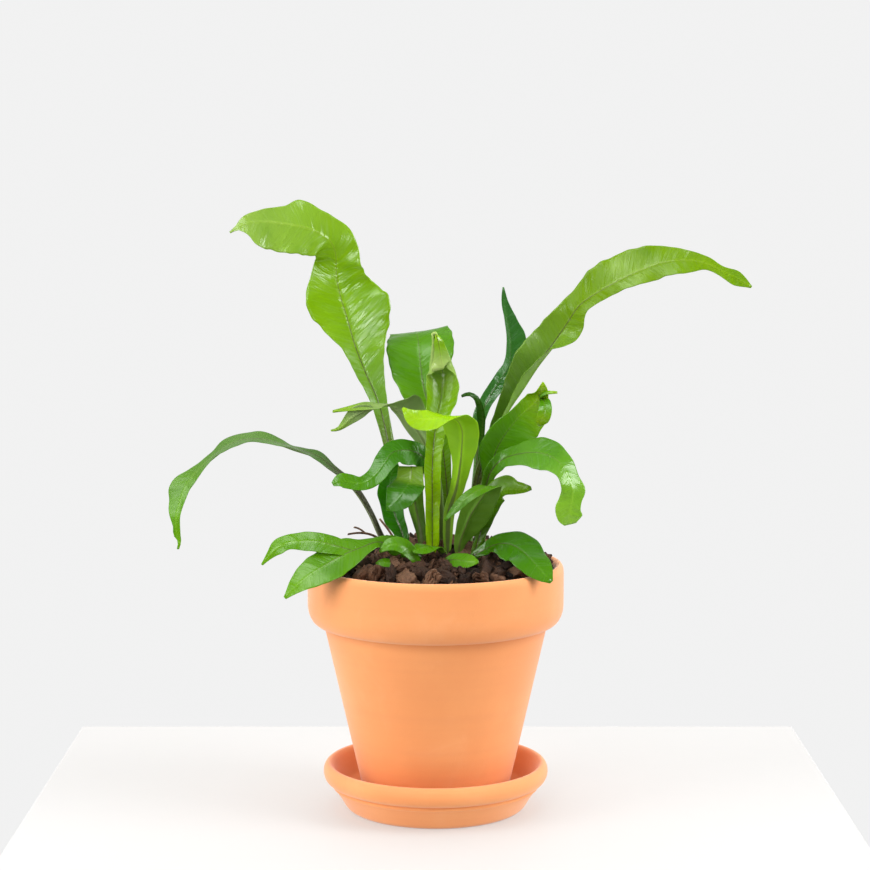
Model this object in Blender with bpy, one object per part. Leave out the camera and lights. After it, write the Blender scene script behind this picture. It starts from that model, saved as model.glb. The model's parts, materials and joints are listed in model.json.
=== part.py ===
"""A bird's nest fern in its terracotta pot and saucer.

Origin: middle of the saucer's foot, on the table. +X right, +Y away from the viewer, +Z up.
Lengths are in metres, except in the frond stations, which are millimetres.
"""
import math

import bmesh
import bpy
import numpy as np
from mathutils import Matrix, Vector

MM = 0.001
GAP = 0.0003

# Saucer
SAUCER_FOOT_RADIUS = 0.0495
SAUCER_LIP_RADIUS = 0.0663
SAUCER_HEIGHT = 0.0274
SAUCER_FLOOR = 0.0050
SAUCER_WALL = 0.0042

# Pot
POT_BASE_RADIUS = 0.0420
POT_SHOULDER_RADIUS = 0.0656
POT_COLLAR_RADIUS = 0.0750
POT_WALL = 0.0052
POT_FLOOR = 0.0070
POT_RIM_HEIGHT = 0.1460
POT_COLLAR_HEIGHT = 0.0358
DRAIN_RADIUS = 0.0085
ROUND_STEPS = 40

# Substrate
SOIL_RADIUS = 0.0690
SOIL_SIDE = 0.1432
SOIL_RISE = 0.0080
SOIL_LEAN = 0.35
CHIP_COUNT = 46
CHIP_LENGTH = 0.0135
CHIP_SEED = 11
CLEAR_OF_CHIPS = [(0.007, -0.037), (0.005, -0.028), (-0.010, -0.029), (0.024, -0.028)]

# Fronds
STEM_DEPTH = 0.0070
STEM_HALF_WIDTH = 0.0016
STEM_THICKNESS = 0.0026
BLADE_THICKNESS = 0.0007
RIB_THICKNESS = 0.0016
RING_SPACING = 0.0085
STEM_WIDTH_LIMIT = 0.0060
WAVE_LENGTH = 0.030
WAVE_SHARE = 0.10
ACROSS = (-1.0, -0.5, 0.0, 0.5, 1.0)

# Colours
TERRACOTTA = (0.80, 0.33, 0.15)
BARK = (0.070, 0.026, 0.012)
LEAF = (0.070, 0.190, 0.020)
LEAF_YOUNG = (0.210, 0.400, 0.040)
TWIG = (0.230, 0.120, 0.050)


def clear_scene():
    for item in list(bpy.data.objects):
        bpy.data.objects.remove(item, do_unlink=True)


def material(name, colour, roughness):
    made = bpy.data.materials.new(name)
    made.use_nodes = True
    shader = made.node_tree.nodes["Principled BSDF"]
    shader.inputs["Base Color"].default_value = (*colour, 1.0)
    shader.inputs["Roughness"].default_value = roughness
    shader.inputs["Metallic"].default_value = 0.0
    return made


def add_object(name, points, faces, surface, smooth=True):
    mesh = bpy.data.meshes.new(name)
    mesh.from_pydata([tuple(point) for point in points], [], faces)
    shaped = bmesh.new()
    shaped.from_mesh(mesh)
    bmesh.ops.recalc_face_normals(shaped, faces=shaped.faces)
    bmesh.ops.triangulate(shaped, faces=shaped.faces)
    shaped.to_mesh(mesh)
    shaped.free()
    mesh.materials.append(surface)
    made = bpy.data.objects.new(name, mesh)
    bpy.context.scene.collection.objects.link(made)
    if smooth:
        for polygon in mesh.polygons:
            polygon.use_smooth = True
    return made


def turned(name, profile, surface, steps=ROUND_STEPS):
    """A closed ring of revolution about +Z from (radius, height) points."""
    points = []
    faces = []
    count = len(profile)
    for step in range(steps):
        angle = 2 * math.pi * step / steps
        for radius, height in profile:
            points.append((radius * math.cos(angle), radius * math.sin(angle), height))
    for step in range(steps):
        following = (step + 1) % steps
        for i in range(count):
            j = (i + 1) % count
            faces.append((step * count + i, following * count + i,
                          following * count + j, step * count + j))
    return add_object(name, points, faces, surface)


def cylinder(name, x, y, radius, low, high, steps=10):
    """A plain upright cutter."""
    made = bmesh.new()
    bmesh.ops.create_cone(made, cap_ends=True, segments=steps, radius1=radius, radius2=radius,
                          depth=high - low, matrix=Matrix.Translation((x, y, (low + high) / 2)))
    mesh = bpy.data.meshes.new(name)
    made.to_mesh(mesh)
    made.free()
    cutter = bpy.data.objects.new(name, mesh)
    cutter.hide_render = True
    cutter.display_type = "WIRE"
    return cutter


def combine(body, others, operation):
    """Apply one Boolean with all the other objects at once, then remove them."""
    group = bpy.data.collections.new(body.name + "_" + operation.lower())
    bpy.context.scene.collection.children.link(group)
    for other in others:
        group.objects.link(other)
    step = body.modifiers.new("combine", "BOOLEAN")
    step.operation = operation
    step.operand_type = "COLLECTION"
    step.collection = group
    step.solver = "EXACT"
    bpy.context.view_layer.update()
    graph = bpy.context.evaluated_depsgraph_get()
    mesh = bpy.data.meshes.new_from_object(body.evaluated_get(graph), depsgraph=graph)
    body.modifiers.remove(step)
    body.data = mesh
    for other in others:
        bpy.data.objects.remove(other, do_unlink=True)
    bpy.data.collections.remove(group)


# Pottery
def saucer_profile():
    """Foot, flared wall with a grooved band, round lip, then the dished inside."""
    foot = SAUCER_FOOT_RADIUS
    lip = SAUCER_LIP_RADIUS
    top = SAUCER_HEIGHT
    return [
        (0.0100, 0.0), (foot, 0.0), (foot + 0.0038, 0.0020), (lip - 0.0064, 0.0126),
        (lip - 0.0052, 0.0136), (lip - 0.0052, 0.0152), (lip - 0.0016, 0.0172),
        (lip, 0.0215), (lip - 0.0004, 0.0252), (lip - 0.0022, top),
        (lip - 0.0050, 0.0267), (lip - 0.0070, 0.0230), (lip - 0.0110, 0.0120),
        (foot - 0.0015, 0.0062), (foot - 0.0060, SAUCER_FLOOR), (0.0100, SAUCER_FLOOR),
    ]


def make_saucer(surface):
    """The saucer is whole in the middle, so a plug closes the ring."""
    ring = saucer_profile()
    points = []
    faces = []
    outer = ring[1:15]
    count = len(outer)
    for step in range(ROUND_STEPS):
        angle = 2 * math.pi * step / ROUND_STEPS
        for radius, height in outer:
            points.append((radius * math.cos(angle), radius * math.sin(angle), height))
    for step in range(ROUND_STEPS):
        following = (step + 1) % ROUND_STEPS
        for i in range(count - 1):
            faces.append((step * count + i, following * count + i,
                          following * count + i + 1, step * count + i + 1))
    faces.append([step * count for step in range(ROUND_STEPS)][::-1])
    faces.append([step * count + count - 1 for step in range(ROUND_STEPS)])
    return add_object("saucer", points, faces, surface)


def pot_inside():
    """The inner wall from the lip down to the floor's round, as (radius, height)."""
    collar = POT_RIM_HEIGHT - POT_COLLAR_HEIGHT
    inside = POT_COLLAR_RADIUS - POT_WALL
    neck = POT_SHOULDER_RADIUS - POT_WALL - 0.0010
    low = SAUCER_FLOOR + GAP + POT_FLOOR + 0.0030
    return [
        (inside, POT_RIM_HEIGHT - 0.0030), (inside - 0.0026, collar + 0.0120),
        (neck + 0.0040, collar + 0.0030), (neck, collar - 0.0060),
        (POT_BASE_RADIUS - POT_WALL + 0.0010, low),
    ]


def make_pot(surface):
    """Tapered body, thick collar with a round lip, drain hole in the floor."""
    base = SAUCER_FLOOR + GAP
    rim = POT_RIM_HEIGHT
    collar = rim - POT_COLLAR_HEIGHT
    outside = POT_COLLAR_RADIUS
    inside = outside - POT_WALL
    profile = [
        (DRAIN_RADIUS, base), (POT_BASE_RADIUS - 0.0015, base), (POT_BASE_RADIUS, base + 0.0015),
        (POT_SHOULDER_RADIUS, collar - 0.0002), (outside - 0.0052, collar + 0.0006),
        (outside - 0.0026, collar + 0.0028), (outside - 0.0010, collar + 0.0057),
        (outside, collar + 0.0092), (outside, rim - 0.0030), (outside - 0.0010, rim - 0.0009),
        (outside - 0.0028, rim), (inside + 0.0010, rim - 0.0009), *pot_inside(),
        (POT_BASE_RADIUS - POT_WALL - 0.0030, base + POT_FLOOR), (DRAIN_RADIUS, base + POT_FLOOR),
    ]
    return turned("pot", profile, surface)


# Substrate
def soil_height(x, y):
    """A low mound, a little higher towards the back."""
    reach = min(math.hypot(x, y) / SOIL_RADIUS, 1.0)
    return SOIL_SIDE + SOIL_RISE * (1 - reach ** 2) * (1 + SOIL_LEAN * y / SOIL_RADIUS)


def bark_chip(name, random, x, y):
    """A broken flat block of bark, tilted and half sunk."""
    length = CHIP_LENGTH * random.uniform(0.75, 1.15)
    width = length * random.uniform(0.50, 0.75)
    height = length * random.uniform(0.28, 0.42)
    made = bmesh.new()
    bmesh.ops.create_cube(made, size=1.0)
    for vertex in made.verts:
        vertex.co.x *= length * random.uniform(0.80, 1.10)
        vertex.co.y *= width * random.uniform(0.75, 1.10)
        vertex.co.z *= height * random.uniform(0.85, 1.10)
    turn = Matrix.Rotation(random.uniform(0, 2 * math.pi), 4, "Z")
    tilt = Matrix.Rotation(random.uniform(-0.35, 0.35), 4, "X")
    sway = Matrix.Rotation(random.uniform(-0.30, 0.30), 4, "Y")
    place = Matrix.Translation((x, y, soil_height(x, y) + 0.0005))
    made.transform(place @ turn @ tilt @ sway)
    bmesh.ops.triangulate(made, faces=made.faces)
    mesh = bpy.data.meshes.new(name)
    made.to_mesh(mesh)
    made.free()
    return bpy.data.objects.new(name, mesh)


def make_soil(surface, stems):
    """The filling: a mound to the pot's floor, with bark chips and a plain hole for each stem."""
    base = SAUCER_FLOOR + GAP
    floor = base + POT_FLOOR + GAP
    steps = ROUND_STEPS
    slack = GAP / math.cos(math.pi / steps)
    side = [(radius - slack, height) for radius, height in pot_inside()]
    side[0] = (side[0][0], SOIL_SIDE)
    side[-1] = (side[-1][0], side[-1][1] + GAP)
    side.append((POT_BASE_RADIUS - POT_WALL - 0.0034, floor))
    rings = [(0.022, None), (0.044, None)] + side
    points = [(0.0, 0.0, soil_height(0.0, 0.0))]
    faces = []
    for radius, height in rings:
        for step in range(steps):
            angle = 2 * math.pi * step / steps
            x = radius * math.cos(angle)
            y = radius * math.sin(angle)
            points.append((x, y, height if height else soil_height(x, y)))
    for step in range(steps):
        faces.append((0, 1 + step, 1 + (step + 1) % steps))
        for ring in range(len(rings) - 1):
            a = 1 + ring * steps
            b = a + steps
            faces.append((a + step, b + step, b + (step + 1) % steps, a + (step + 1) % steps))
    faces.append([1 + (len(rings) - 1) * steps + step for step in range(steps)][::-1])
    soil = add_object("substrate", points, faces, surface)
    random = np.random.default_rng(CHIP_SEED)
    chips = []
    for i in range(CHIP_COUNT):
        reach = 0.0600 * math.sqrt((i + 6) / (CHIP_COUNT + 5))
        angle = i * 2.39996
        x = reach * math.cos(angle)
        y = reach * math.sin(angle)
        kept_clear = list(stems) + CLEAR_OF_CHIPS
        if min(math.hypot(x - spot[0], y - spot[1]) for spot in kept_clear) > 0.0110:
            chips.append(bark_chip("chip", random, x, y))
    combine(soil, chips, "UNION")
    cutters = []
    for x, y in stems:
        low = soil_height(x, y) - STEM_DEPTH - GAP
        cutters.append(cylinder("hole", x, y, STEM_HALF_WIDTH + 2 * GAP, low, low + 0.020))
    combine(soil, cutters, "DIFFERENCE")
    for polygon in soil.data.polygons:
        polygon.use_smooth = False
    return soil


# Fronds
def at(x, y, z, left, right, azimuth=0, elevation=0, fold_left=10, fold_right=10):
    """One station: place, half widths, where the upper face looks and how far each half folds up.

    Azimuth 0 looks at the viewer, 90 to +X; elevation 90 looks up.
    """
    turn = math.radians(azimuth)
    rise = math.radians(elevation)
    look = (math.sin(turn) * math.cos(rise), -math.cos(turn) * math.cos(rise), math.sin(rise))
    return (x * MM, y * MM, z * MM, left * MM, right * MM, *look,
            math.radians(fold_left), math.radians(fold_right))


def smooth_path(stations, spacing):
    """Stations on a smooth curve through the given ones, twice as far apart along a bare stem."""
    given = np.array(stations)
    step = np.linalg.norm(np.diff(given[:, :3], axis=0), axis=1)
    along = np.concatenate([[0.0], np.cumsum(step)])
    slope = np.gradient(given, along, axis=0)
    fine = np.linspace(0.0, along[-1], 400)
    width = np.interp(fine, along, given[:, 3] + given[:, 4])
    pace = np.where(width < STEM_WIDTH_LIMIT, 2.0 * spacing, spacing)
    passed = np.concatenate([[0.0], np.cumsum((fine[1] - fine[0]) / pace[1:])])
    count = max(int(round(passed[-1])), 3)
    wanted = np.interp(np.linspace(0.0, passed[-1], count + 1), passed, fine)
    index = np.clip(np.searchsorted(along, wanted, side="right") - 1, 0, len(along) - 2)
    span = (along[index + 1] - along[index])[:, None]
    t = ((wanted - along[index])[:, None]) / span
    first = given[index]
    last = given[index + 1]
    path = ((2 * t ** 3 - 3 * t ** 2 + 1) * first + (t ** 3 - 2 * t ** 2 + t) * span * slope[index]
            + (3 * t ** 2 - 2 * t ** 3) * last + (t ** 3 - t ** 2) * span * slope[index + 1])
    path[:, 3:5] = np.maximum(path[:, 3:5], 0.35 * MM)
    return path, wanted


def frond_points(stations, spacing, wave, phase, across=ACROSS):
    """Rings of points, upper face then under face, along one frond."""
    path, along = smooth_path(stations, spacing)
    place = path[:, :3]
    tangent = np.gradient(place, along, axis=0)
    tangent /= np.linalg.norm(tangent, axis=1)[:, None]
    look = path[:, 5:8]
    normal = look - tangent * np.sum(look * tangent, axis=1)[:, None]
    normal /= np.linalg.norm(normal, axis=1)[:, None]
    side = np.cross(tangent, normal)
    rings = []
    for i in range(len(along)):
        upper = []
        under = []
        stem = 1.0 - min(max((path[i, 3] + path[i, 4] - 0.004) / 0.006, 0.0), 1.0)
        rib = RIB_THICKNESS + (STEM_THICKNESS - RIB_THICKNESS) * stem
        left, right = path[i, 8:10]
        hinge = (normal[i] * (math.cos(left) + math.cos(right))
                 + side[i] * (math.sin(left) - math.sin(right)))
        hinge /= np.linalg.norm(hinge)
        for v in across:
            half = path[i, 3] if v < 0 else path[i, 4]
            fold = path[i, 8] if v < 0 else path[i, 9]
            reach = abs(v) * half
            hand = -1.0 if v < 0 else 1.0
            ripple = wave * WAVE_SHARE * half * v * v * math.sin(
                2 * math.pi * along[i] / WAVE_LENGTH + phase + 1.3 * hand)
            out = reach * math.cos(fold)
            lift = reach * math.sin(fold)
            face = hand * side[i] * out + normal[i] * lift
            square = normal[i] * math.cos(fold) - hand * side[i] * math.sin(fold)
            if v == 0:
                square = hinge
            thick = BLADE_THICKNESS + (rib - BLADE_THICKNESS) * (1 - abs(v)) ** 2
            top = place[i] + face + square * ripple
            upper.append(top)
            under.append(top - square * thick)
        rings.append(upper + under[::-1])
    return rings


def skin(rings):
    """Faces of a tube through rings, capped at both ends; flat strips are split the same way
    on both sides."""
    count = len(rings[0])
    points = [point for ring in rings for point in ring]
    faces = []
    for i in range(len(rings) - 1):
        for j in range(count):
            k = (j + 1) % count
            a, b = i * count + j, i * count + k
            c, d = a + count, b + count
            if j < count // 2:
                faces += [(a, b, c), (b, d, c)]
            else:
                faces += [(a, b, d), (a, d, c)]
    for base in (0, (len(rings) - 1) * count):
        for j in range(count // 2 - 1):
            a, b = base + j, base + j + 1
            c, d = base + count - 1 - j, base + count - 2 - j
            faces += [(a, b, c), (b, d, c)]
    return points, faces


def make_frond(name, root, stations, surface, wave=1.0, phase=0.0, lobes=(),
               spacing=RING_SPACING):
    """A stem standing in its hole, then the blade; a forked tip is a second blade fused on."""
    x, y = root
    ground = soil_height(x, y)
    half = STEM_HALF_WIDTH
    azimuth = 0 if stations[0][6] < 0 else 180
    foot = []
    for height in (ground - STEM_DEPTH, ground - 0.5 * STEM_DEPTH, ground + GAP):
        station = list(at(0, 0, 0, 0, 0, azimuth, 0, 0, 0))
        station[:5] = [x, y, height, half, half]
        foot.append(tuple(station))
    rings = frond_points(foot, STEM_DEPTH / 2, 0.0, 0.0)
    rings += frond_points([foot[-1]] + stations, spacing, wave, phase)[1:]
    shift = Vector(at(0, 0, 0, 0, 0, azimuth, 0)[5:8]) * STEM_THICKNESS / 2
    rings = [[Vector(point) + shift for point in ring] for ring in rings]
    frond = add_object(name, *skin(rings), surface)
    others = []
    for lobe in lobes:
        lobe_rings = frond_points(lobe, RING_SPACING, wave, phase + 1.0)
        lobe_rings = [[Vector(point) + shift for point in ring] for ring in lobe_rings]
        part = add_object("lobe", *skin(lobe_rings), surface)
        bpy.context.scene.collection.objects.unlink(part)
        others.append(part)
    if others:
        combine(frond, others, "UNION")
        for polygon in frond.data.polygons:
            polygon.use_smooth = True
    return frond


FRONDS = {
    "frond_tall_left": dict(root=(-0.014, 0.014), phase=0.4, wave=0.8, young=True, stations=[
        at(-19, 16, 162, 1.7, 1.7, 0, 10, 30, 30),
        at(-23, 18, 189, 2.4, 2.4, 0, 10, 30, 30),
        at(-28, 21, 214, 3.2, 3.4, 0, 10, 30, 25),
        at(-34, 25, 238, 4.8, 5.7, 0, 12, 25, 20),
        at(-42, 29, 256, 6.2, 12.6, 0, 14, 25, 12),
        at(-48, 32, 271.5, 9.0, 18.7, 0, 15, 20, 8),
        at(-51, 33.5, 281.5, 14.5, 24.4, 0, 15, 12, 5),
        at(-53.5, 35, 290, 18.6, 28.6, 0, 15, 8, 5),
        at(-56.5, 36, 299, 21.6, 25.0, 0, 16, 5, 5),
        at(-59, 37, 308, 18.4, 22.6, 0, 18, 5, 5),
        at(-59, 37, 316, 14.0, 18.0, 0, 22, 0, 5),
        at(-59, 36, 323.5, 12.4, 14.6, 0, 28, 0, 8),
        at(-62, 34, 332, 12.6, 13.6, -8, 30, 0, 10),
        at(-70, 31, 338, 15.6, 13.0, -5, 28, -5, 8),
        at(-83, 28, 342, 17.4, 16.4, 0, 25, -8, 0),
        at(-90, 27, 343, 17.6, 11.6, 0, 25, -8, 0),
        at(-97, 26, 344, 16.6, 9.0, 0, 25, -5, 0),
        at(-106, 24, 344, 15.6, 6.5, 0, 25, 0, 0),
        at(-112, 22.6, 343, 9.4, 4.4, 0, 25, 0, 0),
        at(-116, 21.6, 341, 2.4, 1.6, 0, 25, 0, 0),
        at(-120.5, 21, 338, 0.4, 0.4, 0, 25, 0, 0),
    ]),
    "frond_tall_right": dict(root=(0.016, 0.007), phase=1.9, wave=0.9, stations=[
        at(19, 8, 167, 1.6, 1.5, 0, 0, 40, 40),
        at(23, 8, 186, 1.8, 1.6, 0, 0, 40, 40),
        at(27, 6, 202, 2.4, 2.6, 0, 5, 40, 50),
        at(34, 5, 219, 4.4, 4.4, 0, 5, 25, 90),
        at(42, 4, 236, 7.2, 5.9, 0, 5, 15, 112),
        at(50, 3, 248, 11.1, 7.9, 0, 8, 10, 116),
        at(59, 2, 262, 14.5, 9.9, 0, 10, 8, 112),
        at(67, 0, 273, 13.3, 10.8, 0, 12, 5, 80),
        at(75, -3, 285, 11.6, 8.6, 0, 15, 5, 20),
        at(83, -6, 297, 9.0, 8.5, 0, 20, 0, 5),
        at(94, -9, 305, 13.8, 5.6, 0, 25, 0, 0),
        at(106, -11, 312, 15.1, 6.6, 0, 25, 0, 0),
        at(119, -12, 318, 13.4, 8.5, 0, 25, 0, 0),
        at(131, -13, 322, 10.4, 8.6, 0, 25, 0, 0),
        at(144, -14, 323, 6.2, 8.0, 0, 25, 0, 0),
        at(155, -15, 321, 4.0, 3.7, 0, 25, 0, 0),
        at(163, -16, 317, 3.2, 3.2, 0, 25, 0, 0),
        at(171, -17, 313, 4.6, 4.6, 0, 25, 0, 0),
        at(180, -18, 308, 0.5, 0.5, 0, 25, 0, 0),
    ]),
    "frond_spear_right": dict(root=(0.020, 0.016), phase=0.0, wave=0.4, stations=[
        at(21, 17, 168, 1.3, 1.3, 0, 5, 20, 20),
        at(23, 19, 189, 1.3, 1.3, 0, 5, 20, 20),
        at(25, 20, 209, 1.4, 1.4, 0, 5, 20, 20),
        at(29, 21, 228, 2.2, 2.4, 0, 5, 20, 20),
        at(35.5, 21, 246, 3.6, 4.6, 0, 5, 5, 10),
        at(43, 20, 260, 4.4, 9.5, 0, 5, -40, 5),
        at(44, 19, 274, 4.0, 9.6, 0, 5, -60, 0),
        at(42, 18, 287, 3.2, 5.6, 0, 5, -60, 0),
        at(40.5, 17, 297, 2.4, 2.2, 0, 5, -40, 0),
        at(39.5, 16, 306, 0.5, 0.5, 0, 0, 0, 0),
    ]),
    "frond_arch_left": dict(root=(-0.025, -0.001), phase=2.2, wave=0.8, stations=[
        at(-31, -3, 162, 1.4, 1.4, 30, 20, 20, 20),
        at(-37, -5, 176, 1.5, 1.5, 30, 35, 20, 20),
        at(-43, -7, 187, 1.7, 1.7, 25, 48, 20, 20),
        at(-50, -9, 196, 2.2, 2.2, 15, 58, 20, 20),
        at(-59, -11, 203, 3.2, 3.2, 5, 62, 15, 15),
        at(-68.5, -13, 210.5, 5.0, 4.4, 0, 65, 10, 10),
        at(-75, -14, 213, 4.6, 4.2, 0, 72, 10, 10),
        at(-81, -15, 215, 4.4, 4.4, 0, 80, 10, 10),
        at(-89, -17, 218, 5.6, 5.6, 0, 77, 10, 10),
        at(-101, -19, 221, 7.6, 7.6, 0, 71, 10, 10),
        at(-111, -21, 220.5, 7.2, 7.2, 0, 71, 10, 10),
        at(-119.5, -23, 217.5, 6.4, 6.4, 0, 75, 10, 10),
        at(-125.5, -24, 213, 5.0, 5.0, -5, 80, 10, 10),
        at(-131.5, -25, 208, 4.4, 4.4, -15, 72, 5, 10),
        at(-137.5, -27, 202, 4.2, 5.4, -30, 50, 0, 10),
        at(-143, -29, 194, 3.8, 10.4, -38, 22, 0, 5),
        at(-146, -30, 185.5, 3.4, 8.8, -40, 5, 0, 5),
        at(-148, -31, 177.5, 2.8, 5.0, -35, -5, 0, 5),
        at(-148, -31, 172, 2.4, 2.4, -30, -10, 0, 0),
        at(-147.5, -31, 167.5, 2.0, 2.8, -30, -10, 0, 0),
        at(-146.5, -31, 163.5, 0.9, 1.0, -30, -10, 0, 0),
        at(-147.5, -31, 159, 0.4, 0.4, -30, -10, 0, 0),
    ]),
    "frond_crook_left": dict(root=(0.004, 0.003), phase=0.8, wave=0.6, stations=[
        at(3, 3, 171, 1.5, 1.5, 180, 10, 30, 30),
        at(1, 2, 192, 2.0, 2.1, 180, 15, 30, 30),
        at(-2, 1, 207, 2.5, 3.6, 180, 20, 30, 20),
        at(-7, -1, 218, 4.8, 5.6, 180, 25, 30, 20),
        at(-14, -4, 229, 10.6, 6.4, 180, 30, 30, 10),
        at(-18, -6, 234, 13.0, 5.4, 180, 35, 20, 10),
        at(-21.5, -7, 237, 12.0, 4.6, 180, 42, 10, 10),
        at(-24.5, -9, 239, 6.0, 3.2, 180, 60, 5, 0),
        at(-27.5, -10, 240, 1.6, 1.8, 180, 86, 0, 0),
        at(-33, -12, 239.4, 3.2, 3.0, 0, 68, 0, 0),
        at(-39.5, -14, 239.6, 4.0, 3.2, 0, 58, 0, 0),
        at(-46, -16, 239, 3.2, 2.2, 0, 52, 0, 0),
        at(-52, -18, 238, 2.2, 1.5, 0, 50, 0, 0),
        at(-59, -20, 237, 0.5, 0.5, 0, 50, 0, 0),
    ], lobes=[[
        at(-37, -12.8, 239.0, 1.6, 1.6, 180, 40, 0, 0),
        at(-42, -14, 236.6, 4.2, 4.0, 180, 30, 0, 0),
        at(-47, -16, 234, 4.6, 4.0, 180, 20, 0, 0),
        at(-52, -18, 229.8, 2.6, 2.6, 180, 15, 0, 0),
        at(-56.2, -19.5, 226.4, 1.1, 1.1, 180, 10, 0, 0),
        at(-60.2, -20.5, 225.8, 0.4, 0.4, 180, 10, 0, 0),
    ]]),
    "frond_back": dict(root=(0.006, 0.018), phase=1.2, wave=0.7, stations=[
        at(7, 20, 171, 1.9, 1.9, 0, 0, 20, 20),
        at(6, 22, 195, 3.2, 3.2, 0, 5, 20, 20),
        at(3, 25, 215, 5.7, 6.0, 0, 5, 20, 20),
        at(-3, 27, 232, 9.6, 9.8, 0, 8, 15, 15),
        at(-7, 29, 246, 14.6, 15.5, 0, 10, 12, 12),
        at(-9, 32, 260, 18.4, 19.5, -3, 15, 8, 8),
        at(-10, 37, 270.5, 19.2, 21.0, -6, 28, 5, 5),
        at(-11, 44, 276.5, 18.0, 20.0, -9, 55, 0, 0),
        at(-12, 54, 277.5, 15.8, 18.0, -90, 84, 0, 0),
        at(-13, 65, 273, 13.6, 13.6, 190, 60, 0, 0),
        at(-13, 75, 264, 10.4, 10.4, 185, 30, 0, 0),
        at(-15, 87, 246, 0.5, 0.5, 180, 10, 0, 0),
    ]),
    "frond_hood": dict(root=(-0.002, -0.014), phase=0.0, wave=0.5, young=True, stations=[
        at(-2, -14, 160, 3.7, 4.0, 0, 0, 30, 30),
        at(-2, -14, 185, 4.3, 5.0, 0, 0, 30, 30),
        at(-2, -14, 202, 5.0, 5.7, 0, 0, 30, 30),
        at(-1, -13, 219, 5.3, 6.3, 0, 0, 30, 30),
        at(1, -11, 234, 7.8, 8.8, 0, 0, 30, 30),
        at(3, -8, 243, 11.2, 11.6, 0, 0, 30, 30),
        at(4, -6, 251, 14.0, 12.8, 0, 0, 25, 30),
        at(4, -5, 259, 14.2, 13.2, 0, -5, 15, 20),
        at(3, -6, 264, 12.2, 12.2, 0, -10, 10, 15),
        at(2, -9, 270, 9.2, 9.6, 0, -15, 10, 10),
        at(0.5, -13, 277, 5.0, 5.6, 0, -20, 10, 10),
        at(-1, -16, 281.5, 1.0, 1.0, 0, -20, 10, 10),
    ]),
    "frond_flop": dict(root=(0.007, -0.0085), phase=0.0, wave=0.6, young=True, stations=[
        at(7, -10, 163, 2.6, 2.5, 180, 0, 25, 25),
        at(8, -12, 178, 3.3, 3.1, 180, 5, 25, 25),
        at(12, -15, 192, 5.0, 3.6, 180, 5, 20, 20),
        at(14, -18, 205, 6.6, 4.7, 180, 8, 15, 15),
        at(15, -21, 217, 9.4, 7.5, 180, 12, 10, 10),
        at(15, -25, 227, 9.7, 10.3, 180, 30, 5, 5),
        at(12, -31, 234, 8.9, 10.7, 180, 65, 0, 0),
        at(6, -37, 236, 9.4, 9.8, 0, 85, 0, 0),
        at(-2, -40, 234.5, 9.2, 8.4, 0, 60, 0, 0),
        at(-11, -41, 235, 7.4, 6.2, 0, 50, 0, 0),
        at(-16, -41, 238.5, 3.4, 2.4, 0, 45, 0, 0),
        at(-18.5, -41, 241, 0.5, 0.5, 0, 45, 0, 0),
    ]),
    "frond_mid_left": dict(root=(0.000, -0.0055), phase=1.0, wave=0.7, stations=[
        at(0, -5, 165, 1.6, 1.6, 0, 10, 25, 25),
        at(-1, -5, 183, 1.9, 1.9, 0, 10, 25, 25),
        at(-2, -5, 196, 3.1, 3.1, 0, 15, 20, 20),
        at(-5, -6, 206, 5.9, 4.7, 0, 25, 15, 15),
        at(-11, -10, 212, 8.6, 6.4, 0, 35, 0, 10),
        at(-19, -15, 214, 9.2, 7.2, 0, 35, -10, 5),
        at(-25, -20, 213, 7.6, 7.0, -10, 30, -10, 0),
        at(-30, -25, 207, 6.2, 6.3, -10, 25, 0, 0),
        at(-35, -28, 201, 6.0, 4.9, -5, 30, 0, 0),
        at(-42, -31, 197, 4.5, 4.3, 0, 35, 0, 0),
        at(-49, -33, 198, 4.5, 4.8, 0, 35, 0, 0),
        at(-54, -34, 199, 4.2, 4.4, 0, 30, 0, 0),
        at(-58.5, -35, 197, 1.4, 1.4, 0, 30, 0, 0),
    ]),
    "frond_curl_left": dict(root=(-0.008, -0.006), phase=0.0, wave=0.5, stations=[
        at(-8, -6, 160, 2.2, 2.2, 180, 0, 20, 20),
        at(-10, -6, 172, 3.8, 3.8, 180, 5, 15, 15),
        at(-12, -7, 182, 5.0, 4.9, 180, 8, 10, 10),
        at(-13.5, -9, 192, 6.4, 6.1, 180, 15, 5, 5),
        at(-14, -12, 200, 7.0, 7.0, 180, 35, 0, 0),
        at(-14, -16, 204.5, 6.6, 7.6, 0, 86, 0, 0),
        at(-14, -19.5, 200.5, 6.8, 8.0, 0, 25, 0, 0),
        at(-14.5, -22, 196.5, 7.6, 8.4, 0, 30, 0, 0),
        at(-16, -27, 195, 10.4, 11.0, 0, 78, 0, 0),
        at(-19, -33, 191.5, 9.4, 10.6, -10, 38, 0, -5),
        at(-22.5, -35, 187, 7.2, 7.4, -15, 15, 0, 0),
        at(-26, -36, 183.5, 3.4, 3.4, -18, 8, 0, 0),
        at(-28, -36.5, 182, 0.6, 0.6, -20, 5, 0, 0),
    ]),
    "frond_broad_left": dict(root=(-0.016, -0.010), phase=0.5, wave=0.6, stations=[
        at(-18, -9, 159, 2.8, 2.6, 0, 0, 25, 25),
        at(-20, -7, 166, 5.2, 4.1, 0, 5, 20, 20),
        at(-23, -5, 173, 7.2, 5.1, 0, 5, 15, 15),
        at(-25, -3, 180, 7.1, 6.6, 0, 8, 10, 10),
        at(-26, -2, 188, 8.0, 7.6, 0, 8, 10, 10),
        at(-26, -1, 196, 5.8, 6.6, 0, 8, 5, 5),
        at(-24, 0, 202, 2.8, 3.5, 0, 8, 0, 0),
        at(-23, 0, 206, 0.5, 0.5, 0, 8, 0, 0),
    ]),
    "frond_crested_right": dict(root=(0.024, -0.003), phase=0.7, wave=0.9, stations=[
        at(26, -3, 162, 1.7, 1.6, 0, 0, 25, 25),
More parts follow.
